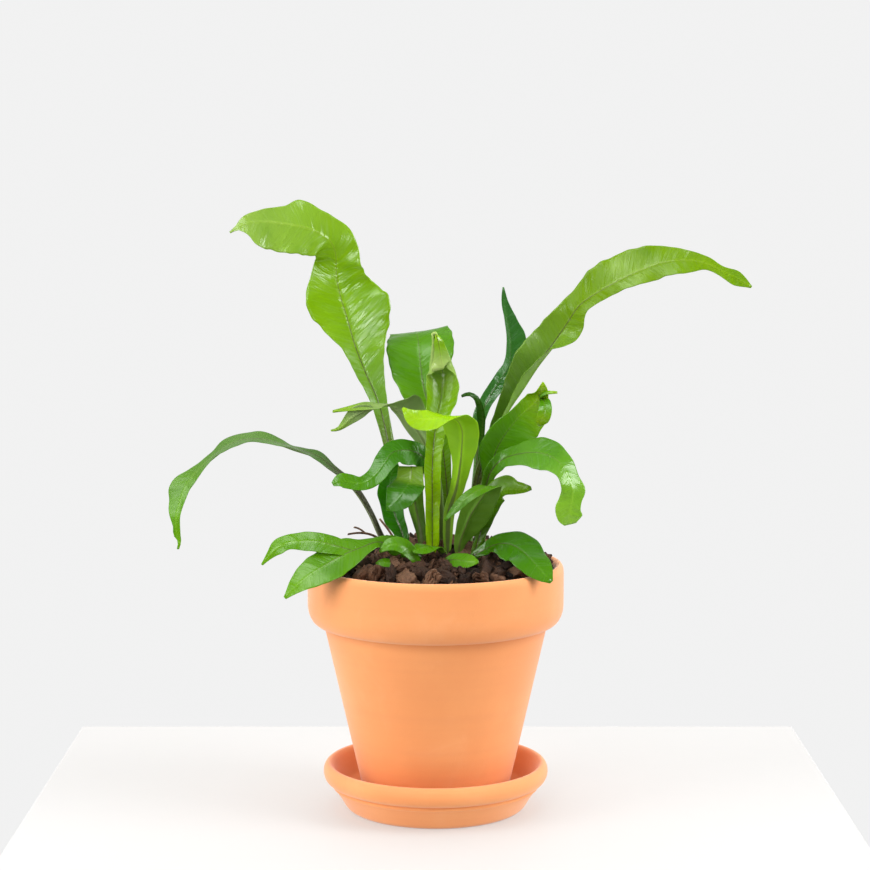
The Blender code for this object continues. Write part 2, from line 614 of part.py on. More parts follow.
        at(29, -4, 177, 2.0, 1.9, 0, 0, 25, 25),
        at(30, -5, 190, 2.6, 2.5, 0, 0, 25, 25),
        at(32, -6, 201, 5.4, 3.6, 0, 5, 15, 15),
        at(35, -8, 213, 10.2, 8.4, 0, 10, 15, 10),
        at(41, -11, 224, 9.0, 14.4, 0, 15, 20, 5),
        at(48, -14, 233, 6.2, 15.4, 0, 20, 15, 0),
        at(54, -18, 239, 6.6, 12.6, 0, 15, 0, 0),
        at(58, -22, 244, 6.2, 8.4, 0, 0, 0, 0),
        at(60.5, -26, 249, 3.8, 4.6, 0, -20, 0, 0),
        at(61, -28, 254, 0.5, 0.5, 0, -20, 0, 0),
    ], lobes=[[
        at(58.5, -24.2, 246.6, 1.8, 1.8, 0, 30, 0, 0),
        at(63, -28, 248.6, 1.2, 1.2, 0, 40, 0, 0),
        at(69, -29, 249, 0.4, 0.4, 0, 40, 0, 0),
    ], [
        at(60.5, -21.6, 245.5, 1.6, 1.6, 0, 30, 0, 0),
        at(62, -28, 242, 3.8, 3.0, 5, 0, 20, 20),
        at(61.5, -30, 237, 4.4, 4.0, 5, -5, 25, 25),
        at(60, -29, 232, 3.4, 3.4, 5, -15, 20, 20),
        at(59.5, -26, 229, 0.8, 0.8, 0, -20, 0, 0),
    ]]),
    "frond_arch_right": dict(root=(0.026, -0.0115), phase=1.5, wave=0.8, stations=[
        at(27, -11, 164, 1.6, 1.6, 0, 0, 25, 25),
        at(28, -11, 179, 2.0, 1.9, 0, 0, 25, 25),
        at(29, -12, 192, 2.6, 2.5, 0, 5, 25, 25),
        at(32, -15, 202, 3.6, 4.2, 0, 20, 20, 20),
        at(38, -20, 209, 4.7, 6.4, 0, 35, 15, 15),
        at(47, -26, 213, 7.6, 8.6, 0, 42, 5, 5),
        at(58, -31, 214.5, 10.8, 10.8, 0, 42, 0, 0),
        at(66, -35, 212.5, 9.8, 10.8, 10, 38, 0, 0),
        at(72, -38, 207.5, 8.4, 8.6, 25, 30, 0, 0),
        at(75.5, -40, 201, 7.2, 7.4, 35, 20, 0, 0),
        at(77.5, -41, 193.5, 7.6, 7.2, 25, 10, 0, 0),
        at(77, -41, 188, 6.0, 8.0, 18, 5, 0, 0),
        at(76, -41, 183, 6.4, 8.6, 15, 0, 0, 0),
        at(76, -40, 178, 7.2, 7.0, 10, -10, 0, 0),
        at(76.5, -39, 174.5, 3.4, 3.6, 10, -10, 0, 0),
    ]),
    "frond_cup_right": dict(root=(0.021, -0.018), phase=0.2, wave=0.6, stations=[
        at(24, -18, 160, 2.2, 2.2, 0, 5, 25, 25),
        at(27, -17, 170, 4.2, 4.4, 0, 5, 5, 20),
        at(30.5, -18, 179, 5.8, 5.0, 0, 8, 15, 15),
        at(33.5, -19, 186, 6.6, 5.4, 0, 15, 15, 10),
        at(37, -21, 191, 7.8, 6.0, 0, 25, 10, 10),
        at(41, -24, 192.5, 8.2, 5.6, 0, 35, 10, 15),
        at(46, -27, 192.5, 5.4, 5.0, 0, 45, 10, 20),
        at(50.5, -28.5, 193, 4.0, 3.8, 0, 50, 20, 20),
        at(54.5, -29, 194, 1.2, 1.2, 0, 50, 10, 10),
    ]),
    "frond_nod_right": dict(root=(0.0135, -0.0165), phase=1.0, wave=0.5, stations=[
        at(14, -20, 160, 3.2, 3.4, 180, 0, 5, 15),
        at(17, -25, 170, 8.0, 5.4, 180, 5, 0, 10),
        at(20, -28, 178, 11.0, 6.4, 180, 12, 0, 10),
        at(25, -32, 187, 10.0, 6.2, 180, 25, 0, 5),
        at(29, -36, 194, 8.5, 5.8, 180, 55, 0, 0),
        at(30, -41, 196.5, 6.6, 5.6, 180, 88, 0, 0),
        at(25, -45, 195, 4.4, 4.6, 0, 60, 0, 0),
        at(18, -48, 191, 3.2, 3.6, 0, 42, 0, 0),
        at(12, -49, 185.5, 2.5, 2.7, 0, 30, 0, 0),
        at(5, -50, 178, 0.5, 0.5, 0, 30, 0, 0),
    ]),
    "frond_crozier": dict(root=(0.025, 0.009), phase=0.0, wave=0.0, spacing=0.004, stations=[
        at(25, 10, 170, 1.3, 1.3, 0, 0, 20, 20),
        at(25, 12, 193, 1.3, 1.3, 0, 0, 20, 20),
        at(26.5, 12, 211, 1.4, 1.4, 0, 0, 20, 20),
        at(27.5, 10, 223, 2.6, 1.4, 0, 10, 0, 0),
        at(27.5, 8, 232, 3.6, 1.4, 0, 10, 0, 0),
        at(26, 6, 238, 2.6, 1.4, 0, 20, 0, 0),
        at(23, 4, 243, 1.6, 1.5, 0, 30, 0, 0),
        at(19, 2, 245, 1.5, 1.5, 0, 50, 0, 0),
        at(15, 1, 244, 0.6, 0.6, 0, 50, 0, 0),
    ]),
    "frond_low_left": dict(root=(-0.005, -0.024), phase=0.3, wave=0.7, stations=[
        at(-6, -24, 152, 1.8, 1.8, 0, 20, 10, 20),
        at(-11, -26, 156, 2.6, 2.4, 0, 30, 10, 20),
        at(-17, -28, 158.5, 5.0, 4.0, 0, 25, 0, 20),
        at(-23, -31, 161, 5.8, 5.4, 0, 25, -10, 15),
        at(-28, -34, 163, 4.8, 4.8, 0, 38, -5, 10),
        at(-34, -37, 164, 4.3, 4.3, 0, 52, 0, 0),
        at(-41, -41, 162, 6.1, 7.4, -10, 50, 0, 0),
        at(-50, -45, 159, 9.9, 11.3, -10, 45, 0, 0),
        at(-60, -48, 154, 12.4, 11.4, -10, 42, 0, 0),
        at(-69, -51, 149, 9.5, 9.4, -10, 38, 0, 0),
        at(-77, -53, 143, 5.5, 6.1, -10, 34, 0, 0),
        at(-85, -54, 135, 0.9, 0.9, -10, 30, 0, 0),
    ], lobes=[[
        at(-46, -43.5, 160, 4.1, 4.1, -10, 45, 0, 0),
        at(-58, -42, 163, 6.0, 6.0, -10, 42, 0, 0),
        at(-67, -41, 165, 6.5, 5.8, -10, 40, 0, 0),
        at(-76, -40, 165, 5.9, 5.9, -5, 40, 0, 0),
        at(-84, -40, 164, 4.5, 5.4, -10, 35, 0, 0),
        at(-90, -39, 161, 4.3, 4.9, -20, 20, 0, 0),
        at(-94, -38, 157, 2.4, 2.4, -20, 10, 0, 0),
        at(-99, -37, 151, 0.5, 0.5, -20, 10, 0, 0),
    ]]),
    "frond_low_right": dict(root=(0.019, -0.0255), phase=1.4, wave=0.8, stations=[
        at(20, -26, 152, 1.7, 1.7, 0, 25, 20, 20),
        at(24, -26, 156, 2.6, 2.8, 0, 40, 20, 20),
        at(28.5, -26, 158, 4.4, 5.0, 0, 48, 15, 15),
        at(34, -28, 161, 8.3, 9.0, 0, 60, 10, 10),
        at(42, -32, 162, 12.2, 12.2, 5, 60, 0, 0),
        at(49, -37, 159, 12.8, 12.5, 15, 50, 0, 0),
        at(54, -43, 155, 10.6, 11.7, 20, 42, 0, 0),
        at(59, -48, 150, 8.1, 9.0, 20, 35, 0, 0),
        at(62, -51, 147, 5.2, 5.2, 20, 30, 0, 0),
        at(65, -53, 144, 1.3, 1.3, 20, 30, 0, 0),
    ]),
    "frond_low_front_left": dict(root=(0.007, -0.023), phase=0.0, wave=0.5, stations=[
        at(6.5, -24, 154, 1.7, 1.7, 150, 15, 5, 5),
        at(4, -27, 157.5, 2.4, 2.4, 150, 50, 5, 5),
        at(0, -31.5, 160, 4.2, 4.0, 150, 80, 5, 5),
        at(-5, -36, 160.5, 5.8, 5.6, 0, 75, 0, 0),
        at(-9, -39, 160, 5.0, 5.0, 0, 60, 0, 0),
        at(-13, -41, 159, 1.2, 1.2, 0, 50, 0, 0),
    ]),
    "frond_low_front_right": dict(root=(0.002, -0.032), phase=0.0, wave=0.5, stations=[
        at(3.5, -33, 150, 1.7, 1.7, 0, 30, 20, 20),
        at(6, -35, 152.5, 2.6, 2.8, 0, 40, 20, 20),
        at(11, -38, 154, 4.8, 4.8, 0, 45, 0, 0),
        at(16, -41, 154, 5.5, 5.5, 0, 45, 0, 0),
        at(21, -43, 154, 3.4, 3.4, 0, 40, 0, 0),
        at(24, -44, 154, 0.7, 0.7, 0, 40, 0, 0),
    ]),
}

TWIG_ROOT = (-0.016, -0.019)
TWIG_STATIONS = [
    at(-24, -24, 165, 1.2, 1.2, 0, 30, 0, 0),
    at(-31, -28, 170, 1.0, 1.0, 0, 30, 0, 0),
    at(-38, -31, 172, 0.9, 0.9, 0, 30, 0, 0),
    at(-50, -34, 173, 0.6, 0.6, 0, 30, 0, 0),
]


def build():
    clear_scene()
    clay = material("terracotta", TERRACOTTA, 0.85)
    bark = material("bark", BARK, 0.90)
    leaf = material("leaf", LEAF, 0.35)
    young = material("leaf_young", LEAF_YOUNG, 0.40)
    dry = material("dry_twig", TWIG, 0.80)
    make_saucer(clay)
    make_pot(clay)
    stems = [entry["root"] for entry in FRONDS.values()] + [TWIG_ROOT]
    make_soil(bark, stems)
    for name, entry in FRONDS.items():
        surface = young if entry.get("young") else leaf
        make_frond(name, entry["root"], entry["stations"], surface, entry["wave"],
                   entry["phase"], entry.get("lobes", ()), entry.get("spacing", RING_SPACING))
    make_frond("dry_twig", TWIG_ROOT, TWIG_STATIONS, dry, 0.0, 0.0)


build()
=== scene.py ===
"""A bird's nest fern in its terracotta pot and saucer: fine blades, bark, clay and light.

Lengths are in metres, except in the frond stations, which are millimetres.
"""

import json
import math

import bpy
import bmesh
import numpy as np
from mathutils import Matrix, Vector, noise

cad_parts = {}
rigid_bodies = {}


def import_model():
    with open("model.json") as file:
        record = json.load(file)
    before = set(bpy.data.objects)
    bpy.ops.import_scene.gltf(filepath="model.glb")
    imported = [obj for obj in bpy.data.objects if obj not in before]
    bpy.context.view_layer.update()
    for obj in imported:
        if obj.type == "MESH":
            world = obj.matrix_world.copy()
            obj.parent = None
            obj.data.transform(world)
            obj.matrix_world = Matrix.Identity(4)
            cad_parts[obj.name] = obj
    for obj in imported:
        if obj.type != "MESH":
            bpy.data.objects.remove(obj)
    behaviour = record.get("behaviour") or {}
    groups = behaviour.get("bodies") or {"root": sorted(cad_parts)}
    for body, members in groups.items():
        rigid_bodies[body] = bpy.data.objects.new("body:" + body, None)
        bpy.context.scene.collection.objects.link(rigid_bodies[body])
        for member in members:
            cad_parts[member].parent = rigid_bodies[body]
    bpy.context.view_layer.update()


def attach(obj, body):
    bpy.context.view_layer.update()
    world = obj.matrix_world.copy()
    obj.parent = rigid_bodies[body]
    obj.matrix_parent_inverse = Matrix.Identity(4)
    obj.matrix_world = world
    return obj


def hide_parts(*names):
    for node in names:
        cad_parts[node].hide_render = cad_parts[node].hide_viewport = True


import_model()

MM = 0.001
FULL_TURN = 2 * math.pi

# Camera
CAMERA_PLACE = (-0.0004, -1.3304, 0.3725)
CAMERA_TILT_DEGREES = 6.5
CAMERA_LENS = 95.17
CAMERA_SENSOR = 36.0

# Saucer
SAUCER_FOOT_RADIUS = 0.0495
SAUCER_LIP_RADIUS = 0.0663
SAUCER_HEIGHT = 0.0274
SAUCER_FLOOR = 0.0050
SAUCER_CORNER = 0.0012
SAUCER_SPACING = 0.0030

# Pot
POT_BASE_RADIUS = 0.0420
POT_SHOULDER_RADIUS = 0.0656
POT_COLLAR_RADIUS = 0.0750
POT_WALL = 0.0052
POT_FLOOR = 0.0070
POT_RIM_HEIGHT = 0.1460
POT_COLLAR_HEIGHT = 0.0358
POT_SEAT = SAUCER_FLOOR + 0.0003
POT_CORNER = 0.0026
POT_SPACING = 0.0035
DRAIN_RADIUS = 0.0085
CLAY_STEPS = 192
ARC_STEPS = 5

# Substrate
SOIL_RADIUS = 0.0690
SOIL_SIDE = 0.1432
SOIL_RISE = 0.0080
SOIL_LEAN = 0.35
WALL_CLEARANCE = 0.0006
MOUND_RADIUS = SOIL_RADIUS - 0.0001
MOUND_BOTTOM = POT_RIM_HEIGHT - 0.0300
MOUND_TAPER = 0.0090
MOUND_TONE = 0.15
MOUND_RINGS = 60
MOUND_STEPS = 180
BED_RADIUS = 0.0630
BED_RINGS = 24
BED_STEPS = 72
CHIP_SEED = 5
CHIP_KINDS = 9
CHIP_CUTS = 5
CHIP_ROUGHNESS = 0.075
CHIP_ROUGHNESS_SCALE = 3.1
CRUMB_KINDS = 4
CRUMB_CUTS = 1
MOST_SPOTS = 60000.0

# Fronds
STEM_DEPTH = 0.0060
STEM_HALF_WIDTH = 0.0016
STEM_THICKNESS = 0.0026
STEM_WIDTH_LIMIT = 0.0060
STEM_COLLAR = 0.0003
BLADE_THICKNESS = 0.0005
BLADE_THINNING = 0.45
LEAST_HALF_WIDTH = 0.00035
STALK_WIDTH = 0.0040
STALK_SPREAD = 0.0060
STALK_FADE = 0.20
STALK_REACH = 0.50
LOBE_STALK_REACH = 0.12
LOBE_START = 0.55
RIB_THICKNESS = 0.0015
RIB_HALF_WIDTH = 0.0007
RIB_HEIGHT = 0.00015
RING_SPACING = 0.0013
PATH_SAMPLES = 400
ACROSS_STEPS = 17
CREASE_SOFTNESS = 0.10
ROLL_START = 0.42
EDGE_UNEVEN = 0.012
EDGE_LENGTHS = (0.0083, 0.0137)
WAVE_LENGTH = 0.030
WAVE_SHARE = 0.10
RUFFLE_LENGTH = 0.0115
RUFFLE_SHARE = 0.025
RUFFLE_DRIFT = 0.047
PUCKER = 0.00005
PUCKER_LENGTH = 0.0062
PUCKER_DRIFT = 0.037
VEIN_SLANT = 0.55
VEIN_SPACING = 1.15

# Leaf finish
LEAF_FACTS = ("across", "along", "side", "run", "stalk", "under")
PLAIN_LOOK = dict(stripe=0.5, tip_from=0.68, tip_to=0.98, painted_shade_half=0.0)
LEAF_SHADE = (0.62, 0.74, 0.50)
LEAF_LIGHT = (1.22, 1.14, 1.10)
LEAF_THROUGH = (1.20, 1.08, 0.20)
THROUGH_SHARE = 0.30
UNDER_TINT = (0.210, 0.360, 0.045)
RIB_COLOUR = (0.055, 0.045, 0.022)
RIB_MARK = 0.55
RIB_FADE_FROM = 0.40
RIB_FADE_TO = 0.90

# Clay colours
CLAY_LIGHT = (0.825, 0.322, 0.106)
CLAY_DARK = (0.795, 0.290, 0.089)
CLAY_BLOOM = (0.930, 0.520, 0.300)
CLAY_BAND = (0.660, 0.230, 0.090)
CLAY_GRAIN = (0.560, 0.180, 0.070)
# Painted shade for the pot's foot and the saucer's floor
CLAY_LOW_SHADE = (0.520, 0.150, 0.055)
CLAY_DUST = 0.42
CLAY_DUST_TINT = (1.0, 0.93, 0.86, 1.0)

# Bark colours, from the darkest chips to the palest
BARK_TONES = ((0.0, (0.014, 0.007, 0.004)), (0.30, (0.036, 0.016, 0.008)),
              (0.55, (0.085, 0.038, 0.018)), (0.78, (0.150, 0.070, 0.034)),
              (1.0, (0.230, 0.120, 0.064)))
BARK_CRACK = (0.020, 0.010, 0.006)
BARK_FIBRE = (0.260, 0.140, 0.080)
TWIG_DARK = (0.060, 0.030, 0.016)
TWIG_LIGHT = (0.210, 0.125, 0.075)

# Stage and light
STAGE_WIDTH = 0.482
STAGE_MIDDLE = 0.001
STAGE_FAR_EDGE = 0.197
STAGE_DEPTH = 0.9
STAGE_ROUNDING = 0.0020
STAGE_WHITE = (0.345, 0.341, 0.336)
STAGE_SHADE = (0.3422, 0.3383, 0.3333)
STAGE_GLOW = (0.395, 0.389, 0.380)
BACKDROP = 0.885
SKY_FRONT = 0.25
SKY_TOP = 0.25
SKY_BACK = 1.05
SKY_BELOW = 0.50
MIRROR_FRONT = 0.04
MIRROR_BACK = 0.85
MIRROR_TOP = 0.12

# Each soft box: name, place, height it aims at, width, height and power
SOFT_BOXES = (("left_box", (-1.20, -0.60, 0.58), 0.16, 0.8, 1.1, 17.0),
              ("right_box", (1.20, -0.45, 0.75), 0.16, 0.7, 1.1, 18.5),
              ("top_box", (0.0, -0.25, 1.60), 0.15, 0.9, 0.9, 6.0),
              ("front_box", (-0.55, -1.75, 1.45), 0.18, 0.7, 0.7, 9.0))

# Each round lamp that only makes highlights: place, width and power
HIGHLIGHTS = (((-0.54, -0.85, 1.44), 0.86, 13.0), ((1.28, -0.42, 0.80), 0.80, 17.0),
              ((-1.45, -0.48, 0.68), 0.86, 9.0), ((-0.27, -1.42, 0.47), 0.36, 4.6))
HIGHLIGHT_AIM = 0.22


# Shader formulas
class Wire:
    """A socket that takes part in formulas. Each operator adds a Math node."""

    def __init__(self, nodes, socket):
        self.nodes = nodes
        self.socket = socket

    def _math(self, operation, *values):
        return self.nodes.node("ShaderNodeMath", dict(enumerate(values)), {"operation": operation})

    def __add__(self, other):
        return self._math("ADD", self, other)

    def __radd__(self, other):
        return self._math("ADD", other, self)

    def __sub__(self, other):
        return self._math("SUBTRACT", self, other)

    def __rsub__(self, other):
        return self._math("SUBTRACT", other, self)

    def __mul__(self, other):
        return self._math("MULTIPLY", self, other)

    def __rmul__(self, other):
        return self._math("MULTIPLY", other, self)

    def __pow__(self, other):
        return self._math("POWER", self, other)

    def size(self):
        return self._math("ABSOLUTE", self)

    def sine(self):
        return self._math("SINE", self)

    def most(self, other):
        return self._math("MAXIMUM", self, other)

    def other(self, name):
        """Another output of the node that this socket is on."""
        return Wire(self.nodes, self.socket.node.outputs[name])


class Nodes:
    """A node tree, with one method that adds any node."""

    def __init__(self, tree):
        self.tree = tree
        tree.nodes.clear()

    def node(self, kind, values=None, settings=None, output=0):
        """Add a node: its settings first, then the values or links of its inputs."""
        made = self.tree.nodes.new(kind)
        for key, value in (settings or {}).items():
            if key == "stops":
                self.set_stops(made.color_ramp, value)
            else:
                setattr(made, key, value)
        for key, value in (values or {}).items():
            socket = made.inputs[key]
            if isinstance(value, Wire):
                self.tree.links.new(value.socket, socket)
            elif socket.type == "RGBA" and len(value) == 3:
                socket.default_value = (*value, 1.0)
            else:
                socket.default_value = value
        return Wire(self, made.outputs[output]) if made.outputs else None

    def set_stops(self, ramp, stops):
        while len(ramp.elements) < len(stops):
            ramp.elements.new(0.5)
        for element, (position, colour) in zip(ramp.elements, stops):
            element.position = position
            element.color = (*colour, 1.0)

    def vector(self, x, y, z=0.0):
        return self.node("ShaderNodeCombineXYZ", {"X": x, "Y": y, "Z": z})

    def axis(self, vector, number):
        return self.node("ShaderNodeSeparateXYZ", {"Vector": vector}, output=number)


class Finish(Nodes):
    """One material's node tree."""

    def __init__(self, name):
        self.material = bpy.data.materials.new(name)
        self.material.use_nodes = True
        super().__init__(self.material.node_tree)

    def attribute(self, name):
        return self.node("ShaderNodeAttribute", settings={"attribute_name": name}, output="Fac")

    def place(self):
        return self.node("ShaderNodeTexCoord", output="Object")

    def ramp(self, value, low, high, start=0.0, end=1.0):
        """A smooth step of value from low to high."""
        return self.node("ShaderNodeMapRange",
                         {"Value": value, "From Min": low, "From Max": high,
                          "To Min": start, "To Max": end},
                         {"interpolation_type": "SMOOTHSTEP", "clamp": True})

    def mix(self, share, first, second, blend="MIX"):
        """A colour between two colours; share may be a number or a wire."""
        return self.node("ShaderNodeMix", {0: share, 6: first, 7: second},
                         {"data_type": "RGBA", "blend_type": blend}, output=2)

    def tinted(self, colour, tint):
        return self.mix(1.0, colour, tint, "MULTIPLY")

    def noise(self, vector, scale, detail=3.0, roughness=0.5, distortion=0.0):
        return self.node("ShaderNodeTexNoise",
                         {"Vector": vector, "Scale": scale, "Detail": detail,
                          "Roughness": roughness, "Distortion": distortion})

    def bump(self, height, distance, strength, below=None):
        values = {"Height": height, "Distance": distance, "Strength": strength}
        if below is not None:
            values["Normal"] = below
        return self.node("ShaderNodeBump", values)

    def surface(self, shader):
        self.node("ShaderNodeOutputMaterial", {"Surface": shader})
        return self.material


# Fronds
def at(x, y, z, left, right, azimuth=0, elevation=0, fold_left=0, fold_right=0,
       roll_left=0, roll_right=0):
    """One station: place, half widths, where the upper face looks and how far each half folds up.

    A roll turns the outer part of a half further, back over the blade.

    Azimuth 0 looks at the viewer, 90 to +X; elevation 90 looks up.
    """
    turn = math.radians(azimuth)
    rise = math.radians(elevation)
    look = (math.sin(turn) * math.cos(rise), -math.cos(turn) * math.cos(rise), math.sin(rise))
    return (x * MM, y * MM, z * MM, left * MM, right * MM, *look,
            math.radians(fold_left), math.radians(fold_right),
            math.radians(roll_left), math.radians(roll_right))


